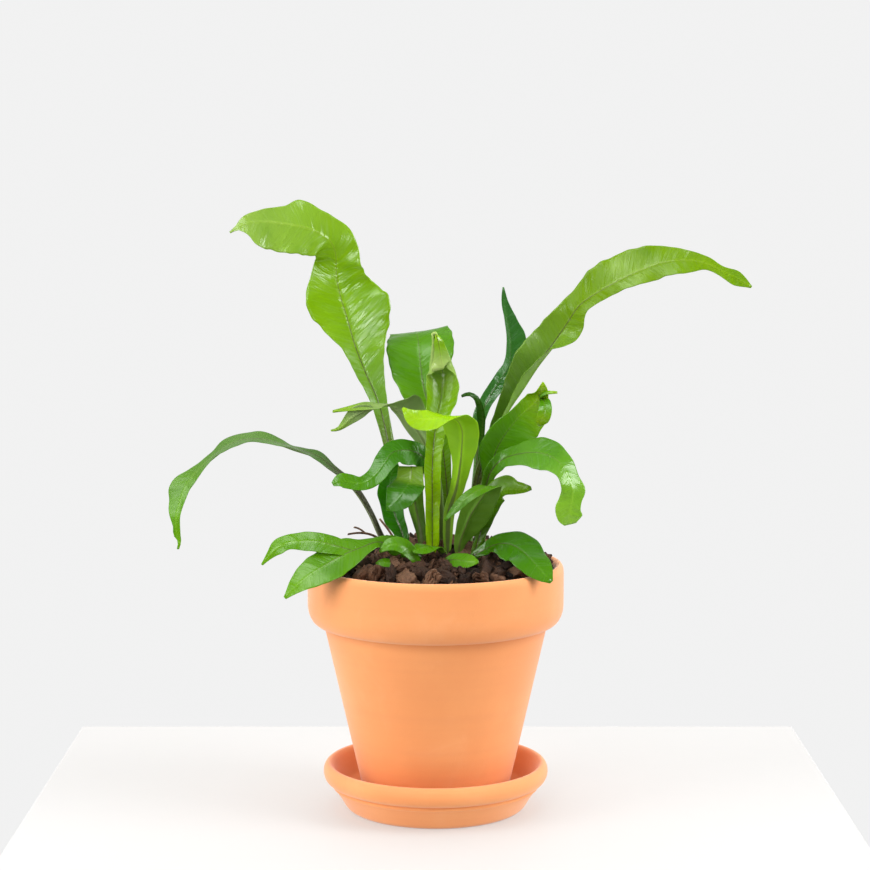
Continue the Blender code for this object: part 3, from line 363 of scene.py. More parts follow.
FRONDS = {
    "frond_tall_left": dict(root=(-0.014, 0.014), phase=0.4, wave=0.5, young=True, stations=[
        at(-19, 16, 162, 1.7, 1.7, 0, 10, 30, 30),
        at(-23, 18, 189, 2.4, 2.4, 0, 10, 30, 30),
        at(-28, 21, 214, 3.2, 3.4, 0, 10, 30, 25),
        at(-34, 25, 238, 4.8, 5.7, 0, 12, 25, 20),
        at(-42, 29, 256, 6.2, 12.6, 0, 14, 25, 12),
        at(-48, 32, 271.5, 9.0, 20.0, 0, 15, 20, 8),
        at(-51, 33.5, 281.5, 14.5, 25.0, 0, 15, 12, 5),
        at(-53.5, 35, 290, 18.6, 27.4, 0, 15, 8, 5),
        at(-55.5, 36, 296, 21.0, 26.0, 0, 16, 5, 5),
        at(-57, 37, 302, 20.8, 21.8, 0, 18, 5, 5),
        at(-58.5, 37, 309, 17.6, 18.4, 0, 20, 2, 5),
        at(-59, 37, 316, 14.0, 16.0, 0, 22, 0, 5),
        at(-59, 36, 323.5, 12.4, 14.2, 0, 28, 0, 8),
        at(-62, 34, 332, 12.6, 13.6, -8, 30, 0, 10),
        at(-70, 31, 338, 15.6, 13.0, -5, 28, -5, 8),
        at(-83, 28, 342, 17.4, 16.4, 0, 25, -8, 0),
        at(-90, 27, 343, 17.6, 11.6, 0, 25, -8, 0),
        at(-97, 26, 344, 16.6, 9.0, 0, 25, -5, 0),
        at(-106, 24, 344, 15.6, 6.5, 0, 25),
        at(-112, 22.6, 343, 9.4, 4.4, 0, 25),
        at(-116, 21.6, 341, 2.4, 1.6, 0, 25),
        at(-120.5, 21, 338, 0.4, 0.4, 0, 25),
    ]),
    "frond_tall_right": dict(root=(0.016, 0.007), phase=1.9, wave=0.9, stations=[
        at(19, 8, 167, 1.6, 1.5, 0, 0, 40, 40),
        at(23, 8, 186, 1.8, 1.6, 0, 0, 40, 40),
        at(27, 6, 202, 2.4, 2.6, 0, 5, 40, 50),
        at(34, 5, 219, 4.4, 4.4, 0, 5, 25, 90),
        at(42, 4, 236, 7.2, 5.9, 0, 5, 15, 112),
        at(50, 3, 248, 11.1, 7.9, 0, 8, 10, 116),
        at(59, 2, 262, 14.5, 9.9, 0, 10, 8, 112),
        at(67, 0, 273, 13.3, 10.8, 0, 12, 5, 80),
        at(75, -3, 285, 11.6, 10.6, 0, 15, 5, 20),
        at(83, -6, 297, 9.0, 6.0, 0, 20, 0, 5),
        at(94, -9, 305, 13.8, 5.6, 0, 25),
        at(106, -11, 312, 15.1, 6.6, 0, 25),
        at(119, -12, 318, 13.4, 8.5, 0, 25),
        at(131, -13, 322, 10.4, 8.6, 0, 25),
        at(144, -14, 323, 6.2, 8.0, 0, 25),
        at(155, -15, 321, 4.0, 3.7, 0, 25),
        at(163, -16, 317, 3.2, 3.2, 0, 25),
        at(171, -17, 313, 4.6, 4.6, 0, 25),
        at(180, -18, 308, 0.5, 0.5, 0, 25),
    ]),
    "frond_spear_right": dict(root=(0.020, 0.016), phase=0.0, wave=0.4, stations=[
        at(21, 17, 168, 1.3, 1.3, 0, 5, 20, 20),
        at(23, 19, 189, 1.3, 1.3, 0, 5, 20, 20),
        at(24.5, 20, 207, 1.5, 1.5, 0, 5, 20, 20),
        at(24.5, 20, 218, 2.4, 2.4, 0, 10, 20, 20),
        at(26, 20, 228, 4.4, 3.4, 0, 15, 10, 15),
        at(30.5, 21, 239, 4.4, 3.6, 0, 12, 5, 10),
        at(36.5, 21, 249, 4.2, 5.2, 0, 5, 0, 5),
        at(43, 20, 260, 4.4, 9.5, 0, 5, -40, 5),
        at(44, 19, 274, 4.0, 9.6, 0, 5, -60, 0),
        at(42, 18, 287, 3.2, 5.6, 0, 5, -60, 0),
        at(40.5, 17, 297, 2.4, 2.2, 0, 5, -40, 0),
        at(39.5, 16, 306, 0.5, 0.5, 0, 0),
    ]),
    "frond_arch_left": dict(root=(-0.025, -0.001), phase=2.2, wave=0.8, stations=[
        at(-31, -3, 162, 1.4, 1.4, 30, 20, 20, 20),
        at(-37, -5, 176, 1.5, 1.5, 30, 35, 20, 20),
        at(-43, -7, 187, 1.7, 1.7, 25, 48, 20, 20),
        at(-50, -9, 196, 2.2, 2.2, 15, 58, 20, 20),
        at(-59, -11, 203, 3.2, 3.2, 5, 62, 15, 15),
        at(-68.5, -13, 210.5, 5.0, 4.4, 0, 65, 10, 10),
        at(-75, -14, 213, 4.6, 4.2, 0, 72, 10, 10),
        at(-81, -15, 215, 4.4, 4.4, 0, 80, 10, 10),
        at(-89, -17, 218, 5.6, 5.6, 0, 77, 10, 10),
        at(-101, -19, 221, 7.6, 7.6, 0, 71, 10, 10),
        at(-111, -21, 220.5, 7.2, 7.2, 0, 71, 10, 10),
        at(-119.5, -23, 217.5, 6.4, 6.4, 0, 75, 10, 10),
        at(-125.5, -24, 213, 5.0, 5.0, -5, 80, 10, 10),
        at(-131.5, -25, 208, 4.4, 4.4, -15, 72, 5, 10),
        at(-137.5, -27, 202, 4.2, 5.4, -30, 50, 0, 10),
        at(-143, -29, 194, 3.8, 10.4, -38, 22, 0, 5),
        at(-146, -30, 185.5, 3.4, 8.8, -40, 5, 0, 5),
        at(-148, -31, 177.5, 2.8, 5.0, -35, -5, 0, 5),
        at(-148, -31, 172, 2.4, 2.4, -30, -10),
        at(-147.5, -31, 167.5, 2.0, 2.8, -30, -10),
        at(-146.5, -31, 163.5, 0.9, 1.0, -30, -10),
        at(-147.5, -31, 159, 0.4, 0.4, -30, -10),
    ]),
    "frond_crook_left": dict(root=(0.004, 0.003), phase=0.8, wave=0.6, stations=[
        at(3, 3, 171, 1.5, 1.5, 180, 10, 30, 30),
        at(1, 2, 192, 2.0, 2.1, 180, 15, 30, 30),
        at(-2, 1, 207, 2.5, 3.6, 180, 20, 30, 20),
        at(-7, -1, 218, 4.8, 5.6, 180, 25, 30, 20),
        at(-14, -4, 229, 10.6, 6.4, 180, 30, 30, 10),
        at(-18, -6, 234, 13.0, 5.4, 180, 35, 20, 10),
        at(-21.5, -7, 237, 12.0, 4.6, 180, 42, 10, 10),
        at(-24.5, -9, 239, 6.0, 3.2, 180, 60, 5, 0),
        at(-27.5, -10, 240, 1.6, 1.8, 180, 86),
        at(-33, -12, 239.4, 3.2, 3.0, 0, 68),
        at(-39.5, -14, 239.6, 4.0, 3.2, 0, 58),
        at(-46, -16, 239, 3.2, 2.2, 0, 52),
        at(-52, -18, 238, 2.2, 1.5, 0, 50),
        at(-59, -20, 237, 0.5, 0.5, 0, 50),
    ], lobes=[[
        at(-37, -12.8, 239.0, 1.6, 1.6, 180, 40),
        at(-42, -14, 236.6, 4.2, 4.0, 180, 30),
        at(-47, -16, 234, 4.6, 4.0, 180, 20),
        at(-52, -18, 229.8, 2.6, 2.6, 180, 15),
        at(-56.2, -19.5, 226.4, 1.1, 1.1, 180, 10),
        at(-60.2, -20.5, 225.8, 0.4, 0.4, 180, 10),
    ]]),
    "frond_back": dict(root=(0.006, 0.018), phase=1.2, wave=0.7, stations=[
        at(7, 20, 171, 1.9, 1.9, 0, 0, 20, 20),
        at(6, 22, 195, 3.2, 3.2, 0, 5, 20, 20),
        at(3, 25, 215, 5.7, 6.0, 0, 5, 20, 20),
        at(-3, 27, 232, 9.6, 9.8, 0, 8, 15, 15),
        at(-7, 29, 246, 14.6, 15.5, 0, 10, 12, 12),
        at(-9, 32, 260, 18.4, 19.5, -3, 15, 8, 8),
        at(-10, 37, 270.5, 19.2, 21.0, -6, 28, 5, 5),
        at(-11, 44, 276.5, 18.0, 20.0, -9, 55),
        at(-12, 54, 277.5, 15.8, 18.0, -90, 84),
        at(-13, 65, 273, 13.6, 13.6, 190, 60),
        at(-13, 75, 264, 10.4, 10.4, 185, 30),
        at(-15, 87, 246, 0.5, 0.5, 180, 10),
    ]),
    "frond_hood": dict(root=(-0.002, -0.014), phase=0.0, wave=0.5, young=True, stations=[
        at(-2, -14, 160, 3.7, 4.0, 0, 0, 30, 30),
        at(-2, -14, 185, 4.3, 5.0, 0, 0, 30, 30),
        at(-2, -14, 202, 5.0, 5.7, 0, 0, 30, 30),
        at(-1, -13, 219, 5.3, 6.3, 0, 0, 30, 30),
        at(1, -11, 234, 7.8, 8.8, 0, 0, 30, 30, 10, 10),
        at(3, -8, 243, 11.2, 11.6, 0, 0, 30, 30, 25, 25),
        at(4, -6, 251, 14.0, 12.8, 0, 0, 25, 30, 45, 45),
        at(4, -5, 259, 14.2, 13.2, 0, -5, 15, 20, 100, 100),
        at(3, -6, 264, 12.2, 12.2, 0, -10, 10, 15, 165, 160),
        at(2, -9, 270, 9.2, 9.6, 0, -15, 10, 10, 185, 180),
        at(0.5, -13, 277, 5.0, 5.6, 0, -20, 10, 10, 185, 180),
        at(-1, -16, 281.5, 1.0, 1.0, 0, -20, 10, 10, 90, 90),
    ], lobes=[[
        at(0.2, -17.5, 281, 1.0, 1.0, 0, -10, -30, -30),
        at(1.4, -17.5, 277, 3.4, 3.2, 0, -5, -40, -40),
        at(2.4, -16.5, 271, 5.2, 4.6, 0, 0, -45, -45),
        at(3.2, -15.5, 266, 6.6, 6.2, 0, 5, -45, -45),
        at(4.0, -14.6, 262.5, 7.4, 7.6, 0, 10, -45, -45),
        at(4.4, -13.2, 260.6, 5.6, 6.6, 0, 40, -30, -30),
    ]]),
    "frond_flop": dict(root=(0.007, -0.0085), phase=0.0, wave=0.6, young=True, stations=[
        at(7, -10, 163, 2.6, 2.5, 180, 0, 25, 25),
        at(8, -12, 178, 3.3, 3.1, 180, 5, 25, 25),
        at(12, -15, 192, 5.0, 3.6, 180, 5, 20, 20),
        at(14, -18, 205, 6.6, 4.7, 180, 8, 15, 15),
        at(15, -21, 217, 9.4, 7.5, 180, 12, 10, 10),
        at(15, -25, 227, 9.7, 10.3, 180, 30, 5, 5),
        at(12, -31, 234, 8.9, 10.7, 180, 65),
        at(6, -37, 236, 9.4, 9.8, 0, 85),
        at(-2, -40, 234.5, 9.2, 8.4, 0, 60),
        at(-11, -41, 235, 7.4, 6.2, 0, 50),
        at(-16, -41, 238.5, 3.4, 2.4, 0, 45),
        at(-18.5, -41, 241, 0.5, 0.5, 0, 45),
    ]),
    "frond_mid_left": dict(root=(0.000, -0.0055), phase=1.0, wave=0.7, stations=[
        at(0, -5, 165, 1.6, 1.6, 0, 10, 25, 25),
        at(-1, -5, 183, 1.9, 1.9, 0, 10, 25, 25),
        at(-2, -5, 196, 3.1, 3.1, 0, 15, 20, 20),
        at(-5, -6, 206, 5.9, 4.7, 0, 25, 15, 15),
        at(-11, -10, 212, 8.6, 6.4, 0, 35, 0, 10),
        at(-19, -15, 214, 9.2, 7.2, 0, 35, -10, 5),
        at(-25, -20, 213, 7.6, 7.0, -10, 30, -10, 0),
        at(-30, -25, 207, 6.2, 6.3, -10, 25),
        at(-35, -28, 201, 6.0, 4.9, -5, 30),
        at(-42, -31, 197, 4.5, 4.3, 0, 35),
        at(-49, -33, 198, 4.5, 4.8, 0, 35),
        at(-54, -34, 199, 4.2, 4.4, 0, 30),
        at(-58.5, -35, 197, 1.4, 1.4, 0, 30),
    ]),
    "frond_curl_left": dict(root=(-0.008, -0.006), phase=0.0, wave=0.5, stations=[
        at(-8, -6, 160, 2.2, 2.2, 180, 0, 20, 20),
        at(-10, -6, 172, 3.8, 3.8, 180, 5, 15, 15),
        at(-12, -7, 182, 5.0, 4.9, 180, 8, 10, 10),
        at(-13.5, -9, 192, 6.4, 6.1, 180, 15, 5, 5),
        at(-14, -12, 200, 7.0, 7.0, 180, 35),
        at(-14, -16, 204.5, 6.6, 7.6, 0, 86),
        at(-14, -19.5, 200.5, 6.8, 8.0, 0, 25),
        at(-14.5, -22, 196.5, 7.6, 8.4, 0, 30),
        at(-16, -27, 195, 10.4, 11.0, 0, 78),
        at(-19, -33, 191.5, 9.4, 10.6, -10, 38, 0, -5),
        at(-22.5, -35, 187, 7.2, 7.4, -15, 15),
        at(-26, -36, 183.5, 3.4, 3.4, -18, 8),
        at(-28, -36.5, 182, 0.6, 0.6, -20, 5),
    ]),
    "frond_broad_left": dict(root=(-0.016, -0.010), phase=0.5, wave=0.6, stations=[
        at(-18, -9, 159, 2.8, 2.6, 0, 0, 25, 25),
        at(-20, -7, 166, 5.2, 4.1, 0, 5, 20, 20),
        at(-23, -5, 173, 7.2, 5.1, 0, 5, 15, 15),
        at(-25, -3, 180, 7.1, 6.6, 0, 8, 10, 10),
        at(-26, -2, 188, 8.0, 7.6, 0, 8, 10, 10),
        at(-26, -1, 196, 5.8, 6.6, 0, 8, 5, 5),
        at(-24, 0, 202, 2.8, 3.5, 0, 8),
        at(-23, 0, 206, 0.5, 0.5, 0, 8),
    ]),
    "frond_crested_right": dict(root=(0.024, -0.003), phase=0.7, wave=0.9, stations=[
        at(26, -3, 162, 1.7, 1.6, 0, 0, 25, 25),
        at(29, -4, 177, 2.0, 1.9, 0, 0, 25, 25),
        at(30, -5, 190, 2.6, 2.5, 0, 0, 25, 25),
        at(32, -6, 201, 5.4, 3.6, 0, 5, 15, 15),
        at(35, -8, 213, 10.2, 8.4, 0, 10, 15, 10),
        at(41, -11, 224, 9.0, 14.4, 0, 15, 20, 5),
        at(48, -14, 233, 6.2, 15.4, 0, 20, 15, 0),
        at(54, -18, 239, 6.6, 12.6, 0, 15),
        at(58, -22, 244, 6.2, 8.4, 0, 0, 0, 0, 30, 30),
        at(60.5, -26, 249, 3.8, 4.6, 0, -20, 0, 0, 60, 60),
        at(61, -28, 254, 0.5, 0.5, 0, -20),
    ], lobes=[[
        at(58.5, -24.2, 246.6, 1.8, 1.8, 0, 30),
        at(63, -28, 248.6, 1.2, 1.2, 0, 40),
        at(69, -29, 249, 0.4, 0.4, 0, 40),
    ], [
        at(60.5, -21.6, 245.5, 1.6, 1.6, 0, 30),
        at(62, -28, 242, 3.8, 3.0, 5, 0, 20, 20),
        at(61.5, -30, 237, 4.4, 4.0, 5, -5, 25, 25),
        at(60, -29, 232, 3.4, 3.4, 5, -15, 20, 20),
        at(59.5, -26, 229, 0.8, 0.8, 0, -20),
    ]]),
    "frond_arch_right": dict(root=(0.026, -0.0115), phase=1.5, wave=0.8, stations=[
        at(27, -11, 164, 1.6, 1.6, 0, 0, 25, 25),
        at(28, -11, 179, 2.0, 1.9, 0, 0, 25, 25),
        at(29, -12, 192, 2.6, 2.5, 0, 5, 25, 25),
        at(32, -15, 202, 3.6, 4.2, 0, 20, 20, 20),
        at(38, -20, 209, 4.7, 6.4, 0, 35, 15, 15),
        at(47, -26, 213, 7.6, 8.6, 0, 42, 5, 5),
        at(58, -31, 214.5, 10.8, 10.8, 0, 42),
        at(66, -35, 212.5, 9.8, 10.8, 10, 38),
        at(72, -38, 207.5, 8.4, 8.6, 25, 30),
        at(75.5, -40, 201, 7.2, 7.4, 35, 20),
        at(77.5, -41, 193.5, 7.6, 7.2, 25, 10),
        at(77, -41, 188, 6.0, 8.0, 18, 5),
        at(76, -41, 183, 6.4, 8.6, 15, 0),
        at(76, -40, 178, 7.2, 7.0, 10, -10),
        at(76.5, -39, 174.5, 3.4, 3.6, 10, -10),
    ]),
    "frond_cup_right": dict(root=(0.021, -0.018), phase=0.2, wave=0.6, stations=[
        at(24, -18, 160, 2.2, 2.2, 0, 5, 25, 25),
        at(27, -17, 170, 4.2, 4.4, 0, 5, 5, 20),
        at(30.5, -18, 179, 5.8, 5.0, 0, 8, 15, 15),
        at(33.5, -19, 186, 6.6, 5.4, 0, 15, 15, 10),
        at(37, -21, 191, 7.8, 6.0, 0, 25, 10, 10),
        at(41, -24, 192.5, 8.2, 5.6, 0, 35, 10, 15, 40, 0),
        at(46, -27, 192.5, 5.4, 5.0, 0, 45, 10, 20, 40, 0),
        at(50.5, -28.5, 193, 4.0, 3.8, 0, 50, 20, 20, 30, 0),
        at(54.5, -29, 194, 1.2, 1.2, 0, 50, 10, 10),
    ]),
    "frond_nod_right": dict(root=(0.0135, -0.0165), phase=1.0, wave=0.5, stations=[
        at(14, -20, 160, 3.2, 3.4, 180, 0, 5, 15),
        at(17, -25, 170, 8.0, 5.4, 180, 5, 0, 10),
        at(20, -28, 178, 11.0, 6.4, 180, 12, 0, 10),
        at(25, -32, 187, 10.0, 6.2, 180, 25, 0, 5),
        at(29, -36, 194, 8.5, 5.8, 180, 55),
        at(30, -41, 196.5, 6.6, 5.6, 180, 88),
        at(25, -45, 195, 4.4, 4.6, 0, 60),
        at(18, -48, 191, 3.2, 3.6, 0, 42),
        at(12, -49, 185.5, 2.5, 2.7, 0, 30),
        at(5, -50, 178, 0.5, 0.5, 0, 30),
    ]),
    "frond_crozier": dict(root=(0.025, 0.009), phase=0.0, wave=0.0, stations=[
        at(25, 10, 170, 1.3, 1.3, 0, 0, 20, 20),
        at(25, 12, 193, 1.3, 1.3, 0, 0, 20, 20),
        at(26.5, 12, 211, 1.4, 1.4, 0, 0, 20, 20),
        at(27.5, 10, 223, 2.6, 1.4, 0, 10),
        at(27.5, 8, 232, 3.6, 1.4, 0, 10),
        at(26, 6, 238, 2.6, 1.4, 0, 20),
        at(23, 4, 243, 1.6, 1.5, 0, 30),
        at(19, 2, 245, 1.5, 1.5, 0, 50),
        at(15, 1, 244, 0.6, 0.6, 0, 50),
    ]),
    "frond_low_left": dict(root=(-0.005, -0.024), phase=0.3, wave=0.7, stations=[
        at(-6, -24, 152, 1.8, 1.8, 0, 20, 10, 20),
        at(-11, -26, 156, 2.6, 2.4, 0, 30, 10, 20),
        at(-17, -28, 158.5, 5.0, 4.0, 0, 25, 0, 20),
        at(-23, -31, 161, 5.8, 5.4, 0, 25, -10, 15),
        at(-28, -34, 163, 4.8, 4.8, 0, 38, -5, 10),
        at(-34, -37, 164, 4.3, 4.3, 0, 52),
        at(-41, -41, 162, 6.1, 7.4, -10, 50),
        at(-50, -45, 159, 9.9, 11.3, -10, 45),
        at(-60, -48, 154, 12.4, 11.4, -10, 42),
        at(-69, -51, 149, 9.5, 9.4, -10, 38),
        at(-77, -53, 143, 5.5, 6.1, -10, 34),
        at(-85, -54, 135, 0.9, 0.9, -10, 30),
    ], lobes=[[
        at(-46, -43.5, 160, 4.1, 4.1, -10, 45),
        at(-58, -42, 163, 6.0, 6.0, -10, 42),
        at(-67, -41, 165, 6.5, 5.8, -10, 40),
        at(-76, -40, 165, 5.9, 5.9, -5, 40),
        at(-84, -40, 164, 4.5, 5.4, -10, 35),
        at(-90, -39, 161, 4.3, 4.9, -20, 20),
        at(-94, -38, 157, 2.4, 2.4, -20, 10),
        at(-99, -37, 151, 0.5, 0.5, -20, 10),
    ]]),
    "frond_low_right": dict(root=(0.019, -0.0255), phase=1.4, wave=0.8, stations=[
        at(20, -26, 152, 1.7, 1.7, 0, 25, 20, 20),
        at(24, -26, 156, 2.6, 2.8, 0, 40, 20, 20),
        at(28.5, -26, 158, 4.4, 5.0, 0, 48, 15, 15),
        at(34, -28, 161, 8.3, 9.0, 0, 60, 10, 10),
        at(42, -32, 162, 12.2, 12.2, 5, 60),
        at(49, -37, 159, 12.8, 12.5, 15, 50),
        at(54, -43, 155, 10.6, 11.7, 20, 42),
        at(59, -48, 150, 8.1, 9.0, 20, 35),
        at(62, -51, 147, 5.2, 5.2, 20, 30),
        at(65, -53, 144, 1.3, 1.3, 20, 30),
    ]),
    "frond_low_front_left": dict(root=(0.007, -0.023), phase=0.0, wave=0.5, stations=[
        at(6.5, -24, 154, 1.7, 1.7, 150, 15, 5, 5),
        at(4, -27, 157.5, 2.4, 2.4, 150, 50, 5, 5),
        at(0, -31.5, 160, 4.2, 4.0, 150, 80, 5, 5),
        at(-5, -36, 160.5, 5.8, 5.6, 0, 75),
        at(-9, -39, 160, 5.0, 5.0, 0, 60),
        at(-13, -41, 159, 1.2, 1.2, 0, 50),
    ], lobes=[[
        at(-8, -37, 146.5, 1.2, 1.2, 0, 30, 15, 15),
        at(-13, -40, 156, 3.2, 3.4, 0, 30, 15, 15),
        at(-19, -42, 162, 4.6, 5.0, -10, 40, 10, 10),
        at(-26, -43, 163, 4.0, 4.4, -10, 45, 5, 5),
        at(-32, -43, 159, 0.6, 0.6, -10, 40),
    ], [
        at(-20, -40, 146.5, 1.0, 1.0, 0, 50),
        at(-26, -43, 152.5, 3.0, 3.0, 0, 45),
        at(-31, -44, 153, 2.4, 2.4, 0, 40),
        at(-34, -44, 152.5, 0.5, 0.5, 0, 40),
    ]]),
    "frond_low_front_right": dict(root=(0.002, -0.032), phase=0.0, wave=0.5, stations=[
        at(3.5, -33, 150, 1.7, 1.7, 0, 30, 20, 20),
        at(6, -35, 152.5, 2.6, 2.8, 0, 40, 20, 20),
        at(11, -38, 154, 4.8, 4.8, 0, 45),
        at(16, -41, 154, 5.5, 5.5, 0, 45),
        at(21, -43, 154, 3.4, 3.4, 0, 40),
        at(24, -44, 154, 0.7, 0.7, 0, 40),
    ]),
}

TWIG_ROOT = (-0.016, -0.019)
TWIG_STATIONS = [
    at(-22, -22, 158, 0.8, 0.8, 0, 30),
    at(-31, -26, 163.8, 0.6, 0.6, 0, 30),
    at(-35, -28, 166.6, 0.55, 0.55, 0, 30),
    at(-39.5, -30, 168.4, 0.5, 0.5, 0, 30),
    at(-44.6, -32, 169, 0.4, 0.4, 0, 30),
    at(-49.7, -34, 168.6, 0.3, 0.3, 0, 30),
]
TWIG_BRANCHES = [[
    at(-40, -30.2, 168.4, 0.4, 0.4, 0, 30),
    at(-43.4, -31.2, 171.2, 0.35, 0.35, 0, 30),
    at(-46, -32, 172.2, 0.25, 0.25, 0, 30),
], [
    at(-22, -24, 161, 0.7, 0.7, 0, 30),
    at(-26.5, -26, 169, 0.6, 0.6, 0, 30),
    at(-31.6, -27, 175.8, 0.5, 0.5, 0, 30),
]]

# How each frond is finished: colours of its stalk, lower blade, middle and tip, and how shiny it is.
# A stripe is how strongly the gloss breaks into streaks; tip_from and tip_to say where the tip's
# colour starts and ends; the painted-shade key says how far painted shade darkens the left half low
# down.
LOOKS = {
    "tall_left": dict(stalk=(0.100, 0.130, 0.0150), low=(0.150, 0.330, 0.0350),
                      middle=(0.225, 0.450, 0.0025), tip=(0.285, 0.465, 0.0650), gloss=0.90,
                      stripe=1.8),
    "tall_right": dict(stalk=(0.060, 0.075, 0.0120), low=(0.190, 0.390, 0.0350),
                       middle=(0.210, 0.390, 0.0550), tip=(0.190, 0.360, 0.0020), gloss=0.50,
                       stripe=0.8, painted_shade_half=0.55, tip_from=0.40, tip_to=0.62),
    "spear_right": dict(stalk=(0.110, 0.230, 0.0550), low=(0.110, 0.270, 0.0750),
                        middle=(0.042, 0.190, 0.0250), tip=(0.050, 0.190, 0.0350), gloss=0.80,
                        stripe=1.0),
    "arch_left": dict(stalk=(0.085, 0.090, 0.0450), low=(0.075, 0.170, 0.0400),
                      middle=(0.120, 0.260, 0.0450), tip=(0.150, 0.390, 0.0037), gloss=0.45),
    "crook_left": dict(stalk=(0.060, 0.130, 0.0037), low=(0.050, 0.170, 0.0037),
                       middle=(0.280, 0.400, 0.1600), tip=(0.240, 0.440, 0.0200), gloss=0.45),
    "back": dict(stalk=(0.060, 0.130, 0.0037), low=(0.150, 0.330, 0.0030),
                 middle=(0.100, 0.310, 0.0020), tip=(0.110, 0.290, 0.0060), gloss=0.50),
    "hood": dict(stalk=(0.290, 0.530, 0.0030), low=(0.330, 0.600, 0.0020),
                 middle=(0.210, 0.430, 0.0015), tip=(0.480, 0.640, 0.1800), gloss=0.90,
                 stripe=0.9),
    "flop": dict(stalk=(0.140, 0.320, 0.0020), low=(0.420, 0.780, 0.0010),
                 middle=(0.380, 0.720, 0.0015), tip=(0.320, 0.560, 0.0030), gloss=0.65),
    "mid_left": dict(stalk=(0.050, 0.110, 0.0037), low=(0.045, 0.180, 0.0020),
                     middle=(0.055, 0.240, 0.0020), tip=(0.090, 0.290, 0.0025), gloss=0.70),
    "curl_left": dict(stalk=(0.060, 0.150, 0.0037), low=(0.090, 0.270, 0.0040),
                      middle=(0.230, 0.420, 0.0300), tip=(0.040, 0.180, 0.0010), gloss=0.75,
                      tip_from=0.70, tip_to=0.79),
    "broad_left": dict(stalk=(0.030, 0.130, 0.0040), low=(0.030, 0.190, 0.0008),
                       middle=(0.034, 0.220, 0.0010), tip=(0.045, 0.210, 0.0020), gloss=0.50),
    "crested_right": dict(stalk=(0.050, 0.110, 0.0037), low=(0.070, 0.240, 0.0030),
                          middle=(0.105, 0.330, 0.0030), tip=(0.300, 0.520, 0.0060), gloss=0.65),
    "arch_right": dict(stalk=(0.050, 0.120, 0.0050), low=(0.065, 0.230, 0.0040),
                       middle=(0.110, 0.320, 0.0150), tip=(0.270, 0.560, 0.0350), gloss=0.95,
                       stripe=0.9),
    "cup_right": dict(stalk=(0.070, 0.160, 0.0037), low=(0.075, 0.210, 0.0030),
                      middle=(0.100, 0.250, 0.0037), tip=(0.150, 0.310, 0.0050), gloss=0.50),
    "nod_right": dict(stalk=(0.060, 0.150, 0.0030), low=(0.070, 0.210, 0.0025),
                      middle=(0.090, 0.260, 0.0030), tip=(0.070, 0.230, 0.0025), gloss=0.50),
    "crozier": dict(stalk=(0.060, 0.130, 0.0075), low=(0.040, 0.130, 0.0063),
                    middle=(0.035, 0.130, 0.0055), tip=(0.030, 0.110, 0.0050), gloss=0.50),
    "low_left": dict(stalk=(0.050, 0.140, 0.0030), low=(0.075, 0.240, 0.0020),
                     middle=(0.110, 0.310, 0.0020), tip=(0.150, 0.390, 0.0025), gloss=0.60),
    "low_right": dict(stalk=(0.045, 0.130, 0.0030), low=(0.045, 0.170, 0.0012),
                      middle=(0.050, 0.205, 0.0012), tip=(0.080, 0.260, 0.0020), gloss=0.95,
                      stripe=0.9),
    "low_front_left": dict(stalk=(0.060, 0.170, 0.0030), low=(0.080, 0.250, 0.0025),
                           middle=(0.090, 0.280, 0.0025), tip=(0.100, 0.300, 0.0030), gloss=0.50),
    "low_front_right": dict(stalk=(0.060, 0.170, 0.0030), low=(0.080, 0.260, 0.0025),
                            middle=(0.090, 0.290, 0.0025), tip=(0.120, 0.330, 0.0030), gloss=0.50),
}


# Blades
def smooth_path(stations):
    """Stations on a smooth curve through the given ones, twice as far apart along a bare stem."""
    given = np.array(stations)
    step = np.linalg.norm(np.diff(given[:, :3], axis=0), axis=1)
    along = np.concatenate([[0.0], np.cumsum(step)])
    slope = np.gradient(given, along, axis=0)
    fine = np.linspace(0.0, along[-1], PATH_SAMPLES)
    width = np.interp(fine, along, given[:, 3] + given[:, 4])
    pace = np.where(width < STEM_WIDTH_LIMIT, 2.0 * RING_SPACING, RING_SPACING)
    passed = np.concatenate([[0.0], np.cumsum((fine[1] - fine[0]) / pace[1:])])
    count = max(int(round(passed[-1])), 3)
    wanted = np.interp(np.linspace(0.0, passed[-1], count + 1), passed, fine)
    index = np.clip(np.searchsorted(along, wanted, side="right") - 1, 0, len(along) - 2)
    span = (along[index + 1] - along[index])[:, None]
    t = (wanted - along[index])[:, None] / span
    first = given[index]
    last = given[index + 1]
    path = ((2 * t ** 3 - 3 * t ** 2 + 1) * first + (t ** 3 - 2 * t ** 2 + t) * span * slope[index]
            + (3 * t ** 2 - 2 * t ** 3) * last + (t ** 3 - t ** 2) * span * slope[index + 1])
    path[:, 3:5] = np.maximum(path[:, 3:5], LEAST_HALF_WIDTH)
    return path, wanted


def blade_directions(path, along):
    """Which way the blade looks and which way it spreads, at each ring."""
    tangent = np.gradient(path[:, :3], along, axis=0)
    tangent /= np.linalg.norm(tangent, axis=1)[:, None]
    look = path[:, 5:8]
    normal = look - tangent * np.sum(look * tangent, axis=1)[:, None]
    normal /= np.linalg.norm(normal, axis=1)[:, None]
    return normal, np.cross(tangent, normal)


def stalk_share(path, along, stalk_reach):
    """1 where a ring is bare stalk, 0 where it is blade."""
    width = path[:, 3] + path[:, 4]
    narrow = 1.0 - np.clip((width - STALK_WIDTH) / STALK_SPREAD, 0.0, 1.0)
    low_down = np.clip(0.5 + (stalk_reach - along / along[-1]) / STALK_FADE, 0.0, 1.0)
    return narrow * low_down


